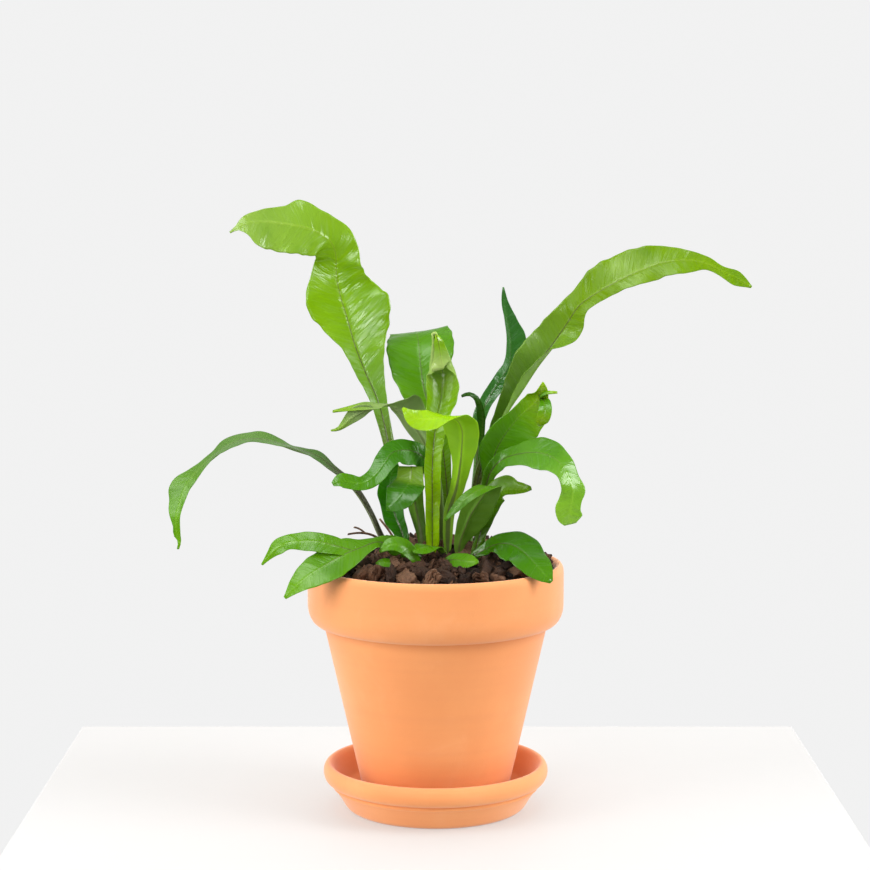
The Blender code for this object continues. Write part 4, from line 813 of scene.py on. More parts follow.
def turned_up(share, fold, roll):
    """How far a half has turned up, at a share of its width: a crease at the rib, a roll outside."""
    crease = np.clip(share / CREASE_SOFTNESS, 0.0, 1.0)
    outer = np.clip((share - ROLL_START) / (1.0 - ROLL_START), 0.0, 1.0)
    return fold * (crease * crease * (3 - 2 * crease)) + roll * (outer * (2 - outer))


def blade_ripple(share, run, half, blade, hand, wave, phase):
    """How far a half waves up and down: long waves, a ruffled edge, and puckers between the veins."""
    long_wave = np.sin(FULL_TURN * run / WAVE_LENGTH + phase + 1.3 * hand)
    ruffle = np.sin(FULL_TURN * run / RUFFLE_LENGTH + 2.3 * phase + 2.0 * hand
                    + 0.9 * np.sin(FULL_TURN * run / RUFFLE_DRIFT))
    slant = run - VEIN_SLANT * half * share
    pucker = np.sin(FULL_TURN * slant / PUCKER_LENGTH + 3.0 * hand + phase
                    + 1.2 * np.sin(FULL_TURN * run / PUCKER_DRIFT))
    return (WAVE_SHARE * wave * half * share ** 2 * long_wave
            + RUFFLE_SHARE * wave * half * share ** 3 * ruffle
            + PUCKER * blade * np.sin(math.pi * np.minimum(1.15 * share, 1.0)) * pucker)


def half_blade(path, along, directions, blade, hand, wave, phase):
    """One half, from the rib outwards: points, which way each looks, ripple, distance and share."""
    normal, side = directions
    share = np.linspace(0.0, 1.0, ACROSS_STEPS + 1)
    share = 0.7 * share + 0.3 * share ** 2  # closer together by the rib
    column = 3 if hand < 0 else 4
    ragged = (np.sin(FULL_TURN * along / EDGE_LENGTHS[0] + 1.7 * phase + 2.6 * hand)
              + np.sin(FULL_TURN * along / EDGE_LENGTHS[1] + 0.9 * phase + 0.7 * hand))
    half = (path[:, column] * (1 + EDGE_UNEVEN * blade * ragged))[:, None]
    fold = path[:, column + 5][:, None]
    roll = path[:, column + 7][:, None]

    step = np.diff(share)
    turn = turned_up(0.5 * (share[1:] + share[:-1])[None, :], fold, roll)
    start = np.zeros((len(along), 1))
    out = np.concatenate([start, np.cumsum(np.cos(turn) * step, axis=1)], axis=1)
    lift = np.concatenate([start, np.cumsum(np.sin(turn) * step, axis=1)], axis=1)
    turn = turned_up(share[None, :], fold, roll)[:, :, None]
    spread = hand * side[:, None, :]
    upright = normal[:, None, :]
    look = upright * np.cos(turn) - spread * np.sin(turn)
    flat = path[:, None, :3] + spread * (half * out)[:, :, None] + upright * (half * lift)[:, :, None]
    run = along[:, None]
    ripple = blade_ripple(share[None, :], run, half, blade[:, None], hand, wave, phase)
    return flat, look, ripple, half * share * hand, share + 0 * run


def leaf_surface(stations, wave, phase, stalk_reach):
    """Upper and under points of one blade on a fine grid, with what its finish needs to know."""
    path, along = smooth_path(stations)
    directions = blade_directions(path, along)
    stalk = stalk_share(path, along, stalk_reach)
    left, right = [half_blade(path, along, directions, 1.0 - stalk, hand, wave, phase)
                   for hand in (-1.0, 1.0)]
    flat, look, ripple, sideways, across = [
        np.concatenate([one[:, :0:-1], other], axis=1) for one, other in zip(left, right)]
    rib = ACROSS_STEPS
    look[:, rib] = 0.5 * (look[:, rib - 1] + look[:, rib + 1])
    look[:, rib] /= np.linalg.norm(look[:, rib], axis=1)[:, None]

    share = stalk[:, None]
    rim = np.sqrt(np.maximum(1.0 - across ** 2, 0.0))
    stem_top = -0.5 * STEM_THICKNESS * (1.0 - rim)
    stem_under = -0.5 * STEM_THICKNESS * (1.0 + rim)
    blade_top = RIB_HEIGHT * np.exp(-(sideways / RIB_HALF_WIDTH) ** 2)
    blade_under = (-BLADE_THICKNESS * (1.0 - BLADE_THINNING * across ** 4)
                   - (RIB_THICKNESS - BLADE_THICKNESS)
                   * np.exp(-(sideways / (1.5 * RIB_HALF_WIDTH)) ** 2))
    upper = flat + look * (ripple + share * stem_top + (1 - share) * blade_top)[:, :, None]
    lower = flat + look * (ripple + share * stem_under + (1 - share) * blade_under)[:, :, None]
    facts = dict(across=across, along=(along / along[-1])[:, None] + 0 * across,
                 side=sideways / MM, run=along[:, None] / MM + 0 * across, stalk=share + 0 * across)
    return upper, lower, facts


def leaf_mesh(name, sheets, surface):
    """One closed mesh from upper and under grids; each grid keeps its facts as attributes."""
    points = []
    faces = []
    facts = {key: [] for key in LEAF_FACTS}
    for upper, lower, known in sheets:
        start = len(points)
        rows, columns = upper.shape[:2]
        count = 2 * columns
        for i in range(rows):
            points += list(upper[i])
            points += list(lower[i][::-1])
        known = dict(known, under=np.zeros((rows, columns)))
        for key in LEAF_FACTS:
            below = np.ones((rows, columns)) if key == "under" else known[key][:, ::-1]
            facts[key] += list(np.concatenate([known[key], below], axis=1).ravel())
        for i in range(rows - 1):
            a = start + i * count
            for j in range(count):
                k = (j + 1) % count
                faces.append((a + j, a + k, a + count + k, a + count + j))
        for a in (start, start + (rows - 1) * count):
            for j in range(columns - 1):
                faces.append((a + j, a + j + 1, a + count - 2 - j, a + count - 1 - j))
    mesh = closed_mesh(name, points, faces)
    for key, values in facts.items():
        layer = mesh.attributes.new(key, "FLOAT", "POINT")
        layer.data.foreach_set("value", np.array(values, np.float32))
    return add_piece(name, mesh, surface)


def closed_mesh(name, points, faces):
    """A mesh from points and faces, with its faces turned outwards."""
    mesh = bpy.data.meshes.new(name)
    mesh.from_pydata([tuple(point) for point in points], [], faces)
    shaped = bmesh.new()
    shaped.from_mesh(mesh)
    bmesh.ops.recalc_face_normals(shaped, faces=shaped.faces)
    shaped.to_mesh(mesh)
    shaped.free()
    return mesh


def add_piece(name, mesh, surface, smooth=True):
    mesh.materials.clear()
    mesh.materials.append(surface)
    made = bpy.data.objects.new(name, mesh)
    bpy.context.scene.collection.objects.link(made)
    if smooth:
        mesh.shade_smooth()
    return made


def with_foot(root, stations):
    """The stations of a whole frond, from inside its hole, and how far it stands off its root."""
    x, y = root
    ground = soil_height(x, y)
    azimuth = 0 if stations[0][6] < 0 else 180
    foot = []
    for height in (ground - STEM_DEPTH, ground - 0.5 * STEM_DEPTH, ground + STEM_COLLAR):
        station = list(at(0, 0, 0, 0, 0, azimuth))
        station[:5] = [x, y, height, STEM_HALF_WIDTH, STEM_HALF_WIDTH]
        foot.append(tuple(station))
    shift = np.array(foot[0][5:8]) * STEM_THICKNESS / 2
    return foot + list(stations), shift


def make_leaf(name, entry, surface):
    stations, shift = with_foot(entry["root"], entry["stations"])
    wave = entry["wave"]
    phase = entry["phase"]
    sheets = [leaf_surface(stations, wave, phase, entry.get("stalk_reach", STALK_REACH))]
    for lobe in entry.get("lobes", ()):
        upper, lower, facts = leaf_surface(lobe, wave, phase + 1.0,
                                           entry.get("lobe_stalk_reach", LOBE_STALK_REACH))
        facts["along"] = LOBE_START + (1.0 - LOBE_START) * facts["along"]
        sheets.append((upper, lower, facts))
    sheets = [(upper + shift, lower + shift, facts) for upper, lower, facts in sheets]
    return leaf_mesh(name, sheets, surface)


# Leaf finish
def blade_colour(f, fact, look, place):
    """The frond's colours from stalk to tip, with soft uneven borders, and painted shade on the left
    half low down when asked for.
    """
    along = fact["along"]
    cloud = f.noise(place, 15.0, 2.0, 0.5) - 0.5
    body = f.mix(f.ramp(along + 0.20 * cloud, 0.30, 0.62), look["low"], look["middle"])
    body = f.mix(f.ramp(along + 0.16 * cloud, look["tip_from"], look["tip_to"]), body, look["tip"])
    # Painted shade: the left half is darkened low down, where it lies in shade.
    if look["painted_shade_half"]:
        left = f.ramp(fact["side"], -1.0, 0.4, look["painted_shade_half"], 0.0)
        shadow = tuple(0.30 * value for value in look["low"])
        body = f.mix(left * f.ramp(along, 0.34, 0.56, 1.0, 0.0), body, shadow)
    return f.mix(fact["stalk"], body, look["stalk"])


def leaf_material(name, look):
    """A living blade: slanted veins, dark rib, thin pale margin, light shining through."""
    f = Finish(name)
    fact = {key: f.attribute(key) for key in LEAF_FACTS}
    place = f.place()
    off_rib = fact["side"].size()
    slant = fact["run"] - VEIN_SLANT * off_rib
    open_blade = 1.0 - fact["stalk"]

    # Colour, in soft patches
    body = blade_colour(f, fact, look, place)
    deep = f.tinted(body, LEAF_SHADE)
    light = f.tinted(body, LEAF_LIGHT)
    patch = f.noise(place, 42.0, 3.0, 0.55)
    body = f.mix(f.ramp(patch, 0.30, 0.50, 0.55, 0.0), body, deep)
    body = f.mix(f.ramp(patch, 0.52, 0.74, 0.0, 0.60), body, light)

    # Veins run outwards and forwards from the rib
    drift = f.noise(place, 40.0, 1.0, 0.5)
    streak = f.noise(f.vector(slant * 0.50, fact["side"] * 0.070), 1.0, 1.2, 0.50)
    vein = (slant * (FULL_TURN / VEIN_SPACING) + 0.8 * drift).sine()
    body = f.mix(f.ramp(vein, 0.45, 1.0, 0.0, 0.05) * open_blade, body, deep)
    body = f.mix(f.ramp(streak, 0.52, 0.78, 0.0, 0.25) * open_blade, body, light)

    # Pale margin, and a dark rib in a pale groove
    along = fact["along"]
    body = f.mix(f.ramp(fact["across"], 0.93, 1.0, 0.0, 0.55) * open_blade, body, light)
    rib_line = (1.0 - f.ramp(off_rib, 0.35 * RIB_MARK, RIB_MARK)) * f.ramp(along, 0.88, 0.96, 1.0, 0.0)
    groove = f.ramp(off_rib, RIB_MARK, 2.6 * RIB_MARK, 0.35, 0.0)
    body = f.mix(groove * open_blade, body, light)
    fade = f.ramp(along, RIB_FADE_FROM, RIB_FADE_TO, 1.0, 0.25)
    body = f.mix(rib_line * fade * 0.85, body, RIB_COLOUR)
    body = f.mix(fact["under"] * 0.65, body, f.mix(0.40, body, UNDER_TINT))

    # Relief and gloss
    relief = f.bump((0.05 * vein + look["stripe"] * streak) * open_blade, 0.00016, 0.80)
    swell = f.noise(f.vector(slant * 0.17, fact["side"] * 0.05), 1.0, 2.0, 0.5)
    gloss = look["gloss"]
    dullness = 0.36 - 0.20 * gloss
    rough = f.ramp(streak, 0.30, 0.72, dullness + 0.12, dullness - 0.05) + fact["under"] * 0.18
    shader = f.node("ShaderNodeBsdfPrincipled",
                    {"Base Color": body, "Roughness": rough, "Specular IOR Level": 0.25 + 0.45 * gloss,
                     "IOR": 1.45, "Normal": f.bump(swell, 0.0012, 0.55, relief)})

    # Light through the blade, in one colour for the whole frond
    through = tuple(tint * (0.3 * low + 0.4 * middle + 0.3 * tip) for tint, low, middle, tip
                    in zip(LEAF_THROUGH, look["low"], look["middle"], look["tip"]))
    translucent = f.node("ShaderNodeBsdfTranslucent", {"Color": through})
    thin = THROUGH_SHARE * open_blade * (1.0 - rib_line)
    return f.surface(f.node("ShaderNodeMixShader", {0: thin, 1: shader, 2: translucent}))


# Pottery
def rounded(profile, radius):
    """The profile with each inner corner replaced by a small arc."""
    made = [profile[0]]
    for before, corner, after in zip(profile, profile[1:], profile[2:]):
        before, corner, after = Vector(before), Vector(corner), Vector(after)
        back = min(radius, 0.45 * (before - corner).length)
        forth = min(radius, 0.45 * (after - corner).length)
        start = corner + (before - corner).normalized() * back
        end = corner + (after - corner).normalized() * forth
        for step in range(ARC_STEPS + 1):
            t = step / ARC_STEPS
            made.append(tuple((1 - t) ** 2 * start + 2 * t * (1 - t) * corner + t ** 2 * end))
    made.append(profile[-1])
    return made


def divided(profile, longest):
    """More points along the long straight stretches."""
    made = [profile[0]]
    for first, last in zip(profile, profile[1:]):
        pieces = max(int(math.ceil(math.dist(first, last) / longest)), 1)
        for step in range(1, pieces + 1):
            t = step / pieces
            made.append((first[0] + (last[0] - first[0]) * t, first[1] + (last[1] - first[1]) * t))
    return made


def ring_points(radius, height, steps):
    """Points of a level circle."""
    return [(radius * math.cos(FULL_TURN * step / steps), radius * math.sin(FULL_TURN * step / steps),
             height) for step in range(steps)]


def turned_clay(name, profile, surface, joined):
    """A body of revolution; joined closes the profile on itself, and otherwise both ends get a disc."""
    rings = len(profile)
    points = []
    faces = []
    for radius, height in profile:
        points += ring_points(radius, height, CLAY_STEPS)
    for i in range(rings if joined else rings - 1):
        a = i * CLAY_STEPS
        b = ((i + 1) % rings) * CLAY_STEPS
        for step in range(CLAY_STEPS):
            following = (step + 1) % CLAY_STEPS
            faces.append((a + step, a + following, b + following, b + step))
    if not joined:
        for end in (0, rings - 1):
            middle = len(points)
            points.append((0.0, 0.0, profile[end][1]))
            a = end * CLAY_STEPS
            for step in range(CLAY_STEPS):
                faces.append((middle, a + step, a + (step + 1) % CLAY_STEPS))
    return add_piece(name, closed_mesh(name, points, faces), surface)


def make_saucer(surface):
    """The saucer's wall from its foot up, over the lip and back down to the floor inside."""
    foot = SAUCER_FOOT_RADIUS
    lip = SAUCER_LIP_RADIUS
    profile = [
        (0.0300, 0.0006), (0.0400, 0.0), (foot, 0.0), (foot + 0.0020, 0.0006), (foot + 0.0038, 0.0022),
        (lip - 0.0105, 0.0065), (lip - 0.0068, 0.0121), (lip - 0.0065, 0.0126), (lip - 0.0056, 0.0128),
        (lip - 0.0052, 0.0136), (lip - 0.0053, 0.0148), (lip - 0.0056, 0.0153), (lip - 0.0046, 0.0155),
        (lip - 0.0030, 0.0161), (lip - 0.0014, 0.0175), (lip - 0.0004, 0.0196), (lip, 0.0220),
        (lip - 0.0005, 0.0248), (lip - 0.0016, 0.0266), (lip - 0.0030, SAUCER_HEIGHT),
        (lip - 0.0046, 0.0269), (lip - 0.0060, 0.0253), (lip - 0.0072, 0.0225), (lip - 0.0110, 0.0120),
        (foot - 0.0015, 0.0062), (foot - 0.0060, SAUCER_FLOOR), (0.0300, SAUCER_FLOOR),
        (0.0100, SAUCER_FLOOR - 0.0002),
    ]
    profile = divided(rounded(profile, SAUCER_CORNER), SAUCER_SPACING)
    return turned_clay("clay_saucer", profile, surface, False)


def make_pot(surface):
    """The pot's wall from its drain hole out, up over the collar and rim, and down inside."""
    base = POT_SEAT
    rim = POT_RIM_HEIGHT
    collar = rim - POT_COLLAR_HEIGHT
    outside = POT_COLLAR_RADIUS
    inside = outside - POT_WALL
    shoulder = POT_SHOULDER_RADIUS
    neck = shoulder - POT_WALL - 0.0010
    floor = base + POT_FLOOR
    corner = POT_BASE_RADIUS - POT_WALL
    profile = [
        (DRAIN_RADIUS, base + 0.0010), (DRAIN_RADIUS + 0.0010, base), (POT_BASE_RADIUS - 0.0015, base),
        (POT_BASE_RADIUS, base + 0.0015), (shoulder - 0.0003, collar - 0.0012),
        (shoulder - 0.0001, collar - 0.0003), (shoulder + 0.0006, collar - 0.0001),
        (outside - 0.0056, collar + 0.0005), (outside - 0.0040, collar + 0.0014),
        (outside - 0.0025, collar + 0.0029), (outside - 0.0010, collar + 0.0058),
        (outside - 0.0002, collar + 0.0090), (outside, collar + 0.0120), (outside, rim - 0.0045),
        (outside - 0.0004, rim - 0.0022), (outside - 0.0014, rim - 0.0006), (outside - 0.0026, rim),
        (outside - 0.0038, rim - 0.0005), (inside + 0.0004, rim - 0.0016),
        (inside, rim - 0.0030), (inside - 0.0026, collar + 0.0120), (neck + 0.0040, collar + 0.0030),
        (neck, collar - 0.0060), (corner + 0.0010, floor + 0.0030), (corner - 0.0030, floor),
        (DRAIN_RADIUS + 0.0010, floor), (DRAIN_RADIUS, floor - 0.0010),
    ]
    profile = divided(rounded(profile, POT_CORNER), POT_SPACING)
    return turned_clay("clay_pot", profile, surface, True)


def clay_material(name):
    """Fired clay: soft clouds, faint turning lines, tiny pits, a dusty bloom and painted shade low down.
    """
    f = Finish(name)
    place = f.place()
    x, y, height = [f.axis(place, number) for number in range(3)]
    reach = (x * x + y * y) ** 0.5
    cloud = f.noise(place, 16.0, 4.0, 0.55)
    grain = f.noise(place, 520.0, 4.0, 0.65)
    band = f.noise(f.vector(height * 190.0, reach * 12.0), 1.0, 2.0, 0.5)
    body = f.mix(f.ramp(cloud, 0.36, 0.66), CLAY_DARK, CLAY_LIGHT)
    bloom = f.ramp(f.noise(place, 34.0, 5.0, 0.62, 0.6), 0.50, 0.78, 0.0, 0.10)
    body = f.mix(bloom, body, CLAY_BLOOM)
    body = f.mix(f.ramp(band, 0.35, 0.70, 0.0, 0.10), body, CLAY_BAND)
    body = f.mix(f.ramp(grain, 0.60, 0.80, 0.0, 0.16), body, CLAY_GRAIN)
    # Painted shade: darker low down, round the pot's foot and on the saucer's floor, where the saucer
    # shades them.
    low_shade = f.ramp(height, 0.010, 0.034, 0.34, 0.0) * f.ramp(reach, 0.045, 0.056, 1.0, 0.0)
    body = f.mix(low_shade, body, CLAY_LOW_SHADE)
    pits = f.noise(place, 1300.0, 3.0, 0.6)
    lines = band + 0.30 * f.noise(f.vector(height * 900.0, 1.0), 1.0, 2.0, 0.5)
    relief = f.bump(pits + 0.8 * grain, 0.00010, 0.6, f.bump(lines, 0.00012, 0.5))
    return f.surface(f.node("ShaderNodeBsdfPrincipled",
                            {"Base Color": body, "Roughness": f.ramp(cloud, 0.3, 0.7, 0.68, 0.80),
                             "Specular IOR Level": 0.60, "IOR": 1.45, "Normal": relief,
                             "Sheen Weight": CLAY_DUST, "Sheen Roughness": 0.45,
                             "Sheen Tint": CLAY_DUST_TINT}))


# Bark
def soil_height(x, y):
    reach = min(math.hypot(x, y) / SOIL_RADIUS, 1.0)
    return SOIL_SIDE + SOIL_RISE * (1 - reach ** 2) * (1 + SOIL_LEAN * y / SOIL_RADIUS)


def bark_chip_shape(name, random, cuts):
    """A torn flat block of bark with ridges along its grain."""
    made = bmesh.new()
    bmesh.ops.create_cube(made, size=1.0)
    bmesh.ops.subdivide_edges(made, edges=made.edges, cuts=cuts, use_grid_fill=True)
    length = random.uniform(0.85, 1.15)
    width = random.uniform(0.50, 0.80)
    height = random.uniform(0.38, 0.66)
    shear = random.uniform(-0.5, 0.5, 4)
    phase = random.uniform(0, FULL_TURN, 6)
    for vertex in made.verts:
        x, y, z = vertex.co
        pull = 1.0 - 0.30 * (abs(2 * x) ** 3) * (0.6 + 0.4 * math.sin(5 * y + phase[0]))
        torn = 0.10 * math.sin(9 * y + phase[1]) + 0.07 * math.sin(17 * z + phase[2])
        ridge = 0.08 * math.sin(15 * y + 3 * x + phase[3]) + 0.05 * math.sin(27 * y + phase[4])
        corner = 1.0 - 0.10 * (abs(2 * y) ** 4 + abs(2 * z) ** 4)
        vertex.co = Vector((
            (x * corner + torn * (2 * abs(x)) ** 2 + shear[0] * y * 0.5) * length,
            (y * pull + shear[1] * z * 0.3 + 0.05 * math.sin(7 * x + phase[5])) * width,
            (z * pull + (ridge + shear[2] * x * 0.25) * (1 if z > -0.2 else 0.6)) * height))
    offset = Vector((random.uniform(0, 50), 0, 0))
    for vertex in made.verts:
        vertex.co += CHIP_ROUGHNESS * noise.noise_vector(vertex.co * CHIP_ROUGHNESS_SCALE + offset)
    bmesh.ops.recalc_face_normals(made, faces=made.faces)
    mesh = bpy.data.meshes.new(name)
    made.to_mesh(mesh)
    made.free()
    return bpy.data.objects.new(name, mesh)


def bark_kinds(name, count, random, cuts):
    """A collection of differently torn chips to lay."""
    kinds = bpy.data.collections.new(name)
    for number in range(count):
        kinds.objects.link(bark_chip_shape("%s_%02d" % (name, number), random, cuts))
    return kinds


# What the scattering tree is given, and the kind of each input
LAY_INPUTS = (("Kinds", "NodeSocketCollection"), ("Spacing", "NodeSocketFloat"),
              ("Smallest", "NodeSocketFloat"), ("Largest", "NodeSocketFloat"),
              ("Tilt", "NodeSocketFloat"), ("Lift", "NodeSocketFloat"),
              ("Seed", "NodeSocketInt"), ("Finish", "NodeSocketMaterial"))

# The layers of bark, from the bed up
BARK_LAYERS = {
    "big_chips": dict(Spacing=0.0078, Smallest=0.0080, Largest=0.0145, Tilt=1.10, Lift=0.0014),
    "small_chips": dict(Spacing=0.0060, Smallest=0.0040, Largest=0.0075, Tilt=0.80, Lift=0.0012),
    "crumbs": dict(Spacing=0.0026, Smallest=0.0016, Largest=0.0036, Tilt=1.50, Lift=0.0004),
}


def scatter_tree(name):
    """Pieces of one collection laid over a surface, turned and sized at random, then made real."""
    tree = bpy.data.node_groups.new(name, "GeometryNodeTree")
    tree.interface.new_socket("Surface", in_out="INPUT", socket_type="NodeSocketGeometry")
    sockets = {}
    for label, kind in LAY_INPUTS:
        sockets[label] = tree.interface.new_socket(label, in_out="INPUT", socket_type=kind).identifier
    tree.interface.new_socket("Pieces", in_out="OUTPUT", socket_type="NodeSocketGeometry")

    t = Nodes(tree)
    given = t.node("NodeGroupInput")
    seed = given.other("Seed")
    tilt = given.other("Tilt")
    spots = t.node("GeometryNodeDistributePointsOnFaces",
                   {"Mesh": given.other("Surface"), "Distance Min": given.other("Spacing"),
                    "Density Max": MOST_SPOTS, "Seed": seed}, {"distribute_method": "POISSON"})
    raised = t.node("GeometryNodeSetPosition",
                    {"Geometry": spots, "Offset": t.vector(0.0, 0.0, given.other("Lift"))})
    turn = t.node("FunctionNodeRandomValue",
                  {0: t.vector(0.0 - tilt, 0.0 - tilt), 1: t.vector(tilt, tilt, FULL_TURN),
                   "Seed": seed}, {"data_type": "FLOAT_VECTOR"})
    size = t.node("FunctionNodeRandomValue",
                  {2: given.other("Smallest"), 3: given.other("Largest"), "Seed": seed},
                  {"data_type": "FLOAT"}, output=1)
    kinds = t.node("GeometryNodeCollectionInfo",
                   {"Collection": given.other("Kinds"), "Separate Children": True,
                    "Reset Children": True})
    laid = t.node("GeometryNodeInstanceOnPoints",
                  {"Points": raised, "Instance": kinds, "Pick Instance": True, "Rotation": turn,
                   "Scale": size})
    tone = t.node("FunctionNodeRandomValue", {"Seed": seed}, {"data_type": "FLOAT"}, output=1)
    marked = t.node("GeometryNodeStoreNamedAttribute",
                    {"Geometry": laid, "Name": "tone", "Value": tone},
                    {"data_type": "FLOAT", "domain": "INSTANCE"})
    real = t.node("GeometryNodeRealizeInstances", {"Geometry": marked})
    done = t.node("GeometryNodeSetMaterial", {"Geometry": real, "Material": given.other("Finish")})
    t.node("NodeGroupOutput", {0: done})
    return tree, sockets


def scattered(bed, tree, sockets, values):
    """Run the tree on a surface and keep the result as a plain mesh."""
    step = bed.modifiers.new("lay", "NODES")
    step.node_group = tree
    for label, value in values.items():
        step[sockets[label]] = value
    bpy.context.view_layer.update()
    graph = bpy.context.evaluated_depsgraph_get()
    mesh = bpy.data.meshes.new_from_object(bed.evaluated_get(graph), depsgraph=graph)
    bed.modifiers.remove(step)
    return mesh


def mound_mesh(name, rings, steps, radius, bottom=None):
    """The top of the mix as a fine disc, closed below when bottom is a height."""
    points = [(0.0, 0.0, soil_height(0, 0))]
    for ring in range(1, rings + 1):
        points += [(x, y, soil_height(x, y)) for x, y, _ in ring_points(radius * ring / rings, 0, steps)]
    faces = []
    for step in range(steps):
        following = (step + 1) % steps
        faces.append((0, 1 + step, 1 + following))
        for ring in range(rings - 1):
            a = 1 + ring * steps
            b = a + steps
            faces.append((a + step, b + step, b + following, a + following))
    if bottom is not None:
        points += ring_points(radius - MOUND_TAPER, bottom, steps)
        a = 1 + (rings - 1) * steps
        b = a + steps
        for step in range(steps):
            following = (step + 1) % steps
            faces.append((a + step, b + step, b + following, a + following))
        faces.append([b + step for step in range(steps)][::-1])
    mesh = bpy.data.meshes.new(name)
    mesh.from_pydata(points, [], faces)
    return mesh


def make_bark(surface):
    """Bark mix: a crumbly mound with big chips and crumbs laid on it."""
    random = np.random.default_rng(CHIP_SEED)
    noise.seed_set(CHIP_SEED)
    chips = bark_kinds("chip", CHIP_KINDS, random, CHIP_CUTS)
    crumbs = bark_kinds("crumb", CRUMB_KINDS, random, CRUMB_CUTS)
    bed = bpy.data.objects.new("bed", mound_mesh("bed", BED_RINGS, BED_STEPS, BED_RADIUS))
    bpy.context.scene.collection.objects.link(bed)
    tree, sockets = scatter_tree("lay_chips")
    whole = bmesh.new()
    for number, (layer, sizes) in enumerate(BARK_LAYERS.items()):
        kinds = crumbs if layer == "crumbs" else chips
        values = dict(sizes, Kinds=kinds, Seed=CHIP_SEED + number, Finish=surface)
        whole.from_mesh(scattered(bed, tree, sockets, values))
    mound = mound_mesh("mound", MOUND_RINGS, MOUND_STEPS, MOUND_RADIUS, MOUND_BOTTOM)
    tone = mound.attributes.new("tone", "FLOAT", "POINT")
    tone.data.foreach_set("value", np.full(len(mound.vertices), MOUND_TONE, np.float32))
    whole.from_mesh(mound)
    keep_inside_pot(whole)
    joined = bpy.data.meshes.new("bark_mix")
    whole.to_mesh(joined)
    whole.free()
    for kind in list(chips.objects) + list(crumbs.objects) + [bed]:
        bpy.data.objects.remove(kind, do_unlink=True)
    bpy.data.collections.remove(chips)
    bpy.data.collections.remove(crumbs)
    return add_piece("bark_mix", joined, surface, smooth=False)


def keep_inside_pot(whole):
    """Draw in what reaches past the pot's wall, and turn all faces outwards."""
    limit = POT_COLLAR_RADIUS - POT_WALL - WALL_CLEARANCE
    for vertex in whole.verts:
        reach = math.hypot(vertex.co.x, vertex.co.y)
        if reach > limit:
            vertex.co.x *= limit / reach
            vertex.co.y *= limit / reach
    bmesh.ops.recalc_face_normals(whole, faces=whole.faces)


def bark_material(name):
    """Damp fibrous bark: each chip has its own tone from near black to red brown."""
    f = Finish(name)
    place = f.place()
    blotch = f.noise(place, 260.0, 5.0, 0.62)
    fibre = f.noise(place, 900.0, 4.0, 0.65, 1.5)
    tone = f.attribute("tone") + 0.42 * (blotch - 0.5)
    body = f.node("ShaderNodeValToRGB", {"Fac": tone}, {"stops": BARK_TONES})
    body = f.mix(f.ramp(fibre, 0.35, 0.75, 0.45, 0.0), body, BARK_CRACK)
    body = f.mix(f.ramp(fibre, 0.60, 0.82, 0.0, 0.40), body, BARK_FIBRE)
    return f.surface(f.node("ShaderNodeBsdfPrincipled",
                            {"Base Color": body, "Roughness": f.ramp(blotch, 0.3, 0.7, 0.62, 0.88),
                             "Specular IOR Level": 0.35, "IOR": 1.45,
                             "Normal": f.bump(fibre + 0.6 * blotch, 0.0007, 0.8)}))


def twig_material(name):
    """A dry dead stalk, streaked light and dark."""
    f = Finish(name)
    fibre = f.noise(f.place(), 700.0, 4.0, 0.6, 1.0)
    body = f.mix(f.ramp(fibre, 0.3, 0.7), TWIG_DARK, TWIG_LIGHT)
    return f.surface(f.node("ShaderNodeBsdfPrincipled",
                            {"Base Color": body, "Roughness": 0.75, "Specular IOR Level": 0.3,
                             "Normal": f.bump(fibre, 0.0003, 0.7)}))


# Stage
def stage_material():
    """A matt white board that glows faintly, as under an even studio light."""
    f = Finish("stage_white")
    body = f.mix(f.ramp(f.noise(f.place(), 60.0, 3.0, 0.5), 0.3, 0.7), STAGE_WHITE, STAGE_SHADE)
    return f.surface(f.node("ShaderNodeBsdfPrincipled",
                            {"Base Color": body, "Roughness": 0.60, "Specular IOR Level": 0.2,
                             "Emission Color": STAGE_GLOW, "Emission Strength": 1.0}))


def make_stage():
    """A plain pale stand with a slightly rounded top edge."""
    made = bmesh.new()
    bmesh.ops.create_cube(made, size=1.0)
    for vertex in made.verts:
        vertex.co.x = vertex.co.x * STAGE_WIDTH + STAGE_MIDDLE
        vertex.co.y = STAGE_FAR_EDGE + (vertex.co.y - 0.5) * STAGE_WIDTH
        vertex.co.z = (vertex.co.z - 0.5) * STAGE_DEPTH
    bmesh.ops.bevel(made, geom=made.edges[:], offset=STAGE_ROUNDING, segments=4, affect="EDGES",
                    profile=0.5)
    mesh = bpy.data.meshes.new("stage_stand")
    made.to_mesh(mesh)
    made.free()
    add_piece("stage_stand", mesh, stage_material(), smooth=False)


def soft_light(name, place, aim, width, height, power, only_gloss=False):
    """A soft box; one for gloss alone is round and is seen only as a highlight."""
    light = bpy.data.lights.new(name, "AREA")
    light.shape = "ELLIPSE" if only_gloss else "RECTANGLE"
    light.size = width
    light.size_y = height
    light.energy = power
    lamp = bpy.data.objects.new(name, light)
    lamp.location = place
    lamp.rotation_euler = (Vector((0.0, 0.0, aim)) - Vector(place)).to_track_quat("-Z", "Y").to_euler()
    lamp.visible_glossy = only_gloss
    lamp.visible_diffuse = not only_gloss
    lamp.visible_transmission = not only_gloss
    bpy.context.scene.collection.objects.link(lamp)


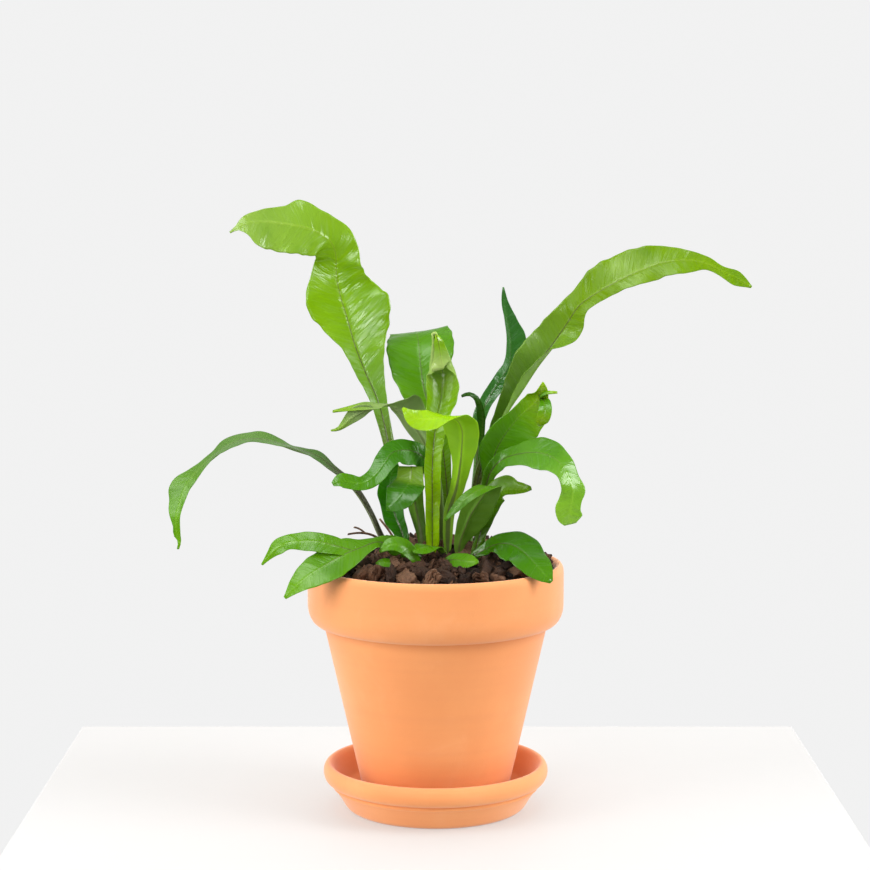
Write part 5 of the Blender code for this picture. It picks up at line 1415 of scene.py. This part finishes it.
def make_light():
    """A pale even backdrop, brighter from behind than from the front, and the lamps."""
    world = bpy.data.worlds.new("studio")
    world.use_nodes = True
    w = Nodes(world.node_tree)
    rays = w.node("ShaderNodeLightPath")
    where = w.node("ShaderNodeTexCoord", output="Generated")
    up = w.axis(where, 2)
    away = w.axis(where, 1)
    ceiling = up.most(0.0)
    glow = (SKY_FRONT + SKY_TOP * ceiling + SKY_BACK * (away + 0.35).most(0.0)
            + SKY_BELOW * (0.0 - up).most(0.0))
    mirrored = rays.other("Is Glossy Ray")
    shown = MIRROR_FRONT + MIRROR_BACK * (away + 0.10).most(0.0) + MIRROR_TOP * ceiling * ceiling
    glow = glow * (1.0 - mirrored) + shown * mirrored
    seen = w.node("ShaderNodeMix", {0: rays.other("Is Camera Ray"), 2: glow, 3: BACKDROP})
    back = w.node("ShaderNodeBackground", {"Color": (1.0, 1.0, 1.0), "Strength": seen})
    w.node("ShaderNodeOutputWorld", {"Surface": back})
    bpy.context.scene.world = world
    for name, place, aim, width, height, power in SOFT_BOXES:
        soft_light(name, place, aim, width, height, power)
    for number, (place, width, power) in enumerate(HIGHLIGHTS):
        soft_light("window_%d" % number, place, HIGHLIGHT_AIM, width, width, power, True)


def make_camera():
    lens = bpy.data.cameras.new("camera")
    lens.sensor_width = CAMERA_SENSOR
    lens.lens = CAMERA_LENS
    lens.clip_start = 0.1
    camera = bpy.data.objects.new("camera", lens)
    camera.location = CAMERA_PLACE
    camera.rotation_euler = (math.radians(90.0 - CAMERA_TILT_DEGREES), 0.0, 0.0)
    bpy.context.scene.collection.objects.link(camera)
    bpy.context.scene.camera = camera


def make_plant():
    """All pieces of the plant, each with the node it replaces and its material slot."""
    clay = clay_material("terracotta")
    pieces = [(make_saucer(clay), "saucer", "terracotta"), (make_pot(clay), "pot", "terracotta"),
              (make_bark(bark_material("bark")), "substrate", "bark")]
    for node, entry in FRONDS.items():
        name = node.replace("frond_", "")
        surface = leaf_material("leaf_" + name, {**PLAIN_LOOK, **LOOKS[name]})
        leaf = make_leaf("leaf_" + name, entry, surface)
        pieces.append((leaf, node, "leaf_young" if entry.get("young") else "leaf"))
    twig = dict(root=TWIG_ROOT, stations=TWIG_STATIONS, lobes=TWIG_BRANCHES, wave=0.0, phase=0.0,
                stalk_reach=1.2, lobe_stalk_reach=1.2)
    pieces.append((make_leaf("fine_twig", twig, twig_material("dry_twig")), "dry_twig", "dry_twig"))
    return pieces


bpy.context.scene.view_settings.view_transform = "Standard"
make_camera()
make_light()
make_stage()
for piece, node, slot in make_plant():
    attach(piece, "root")
    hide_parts(node)
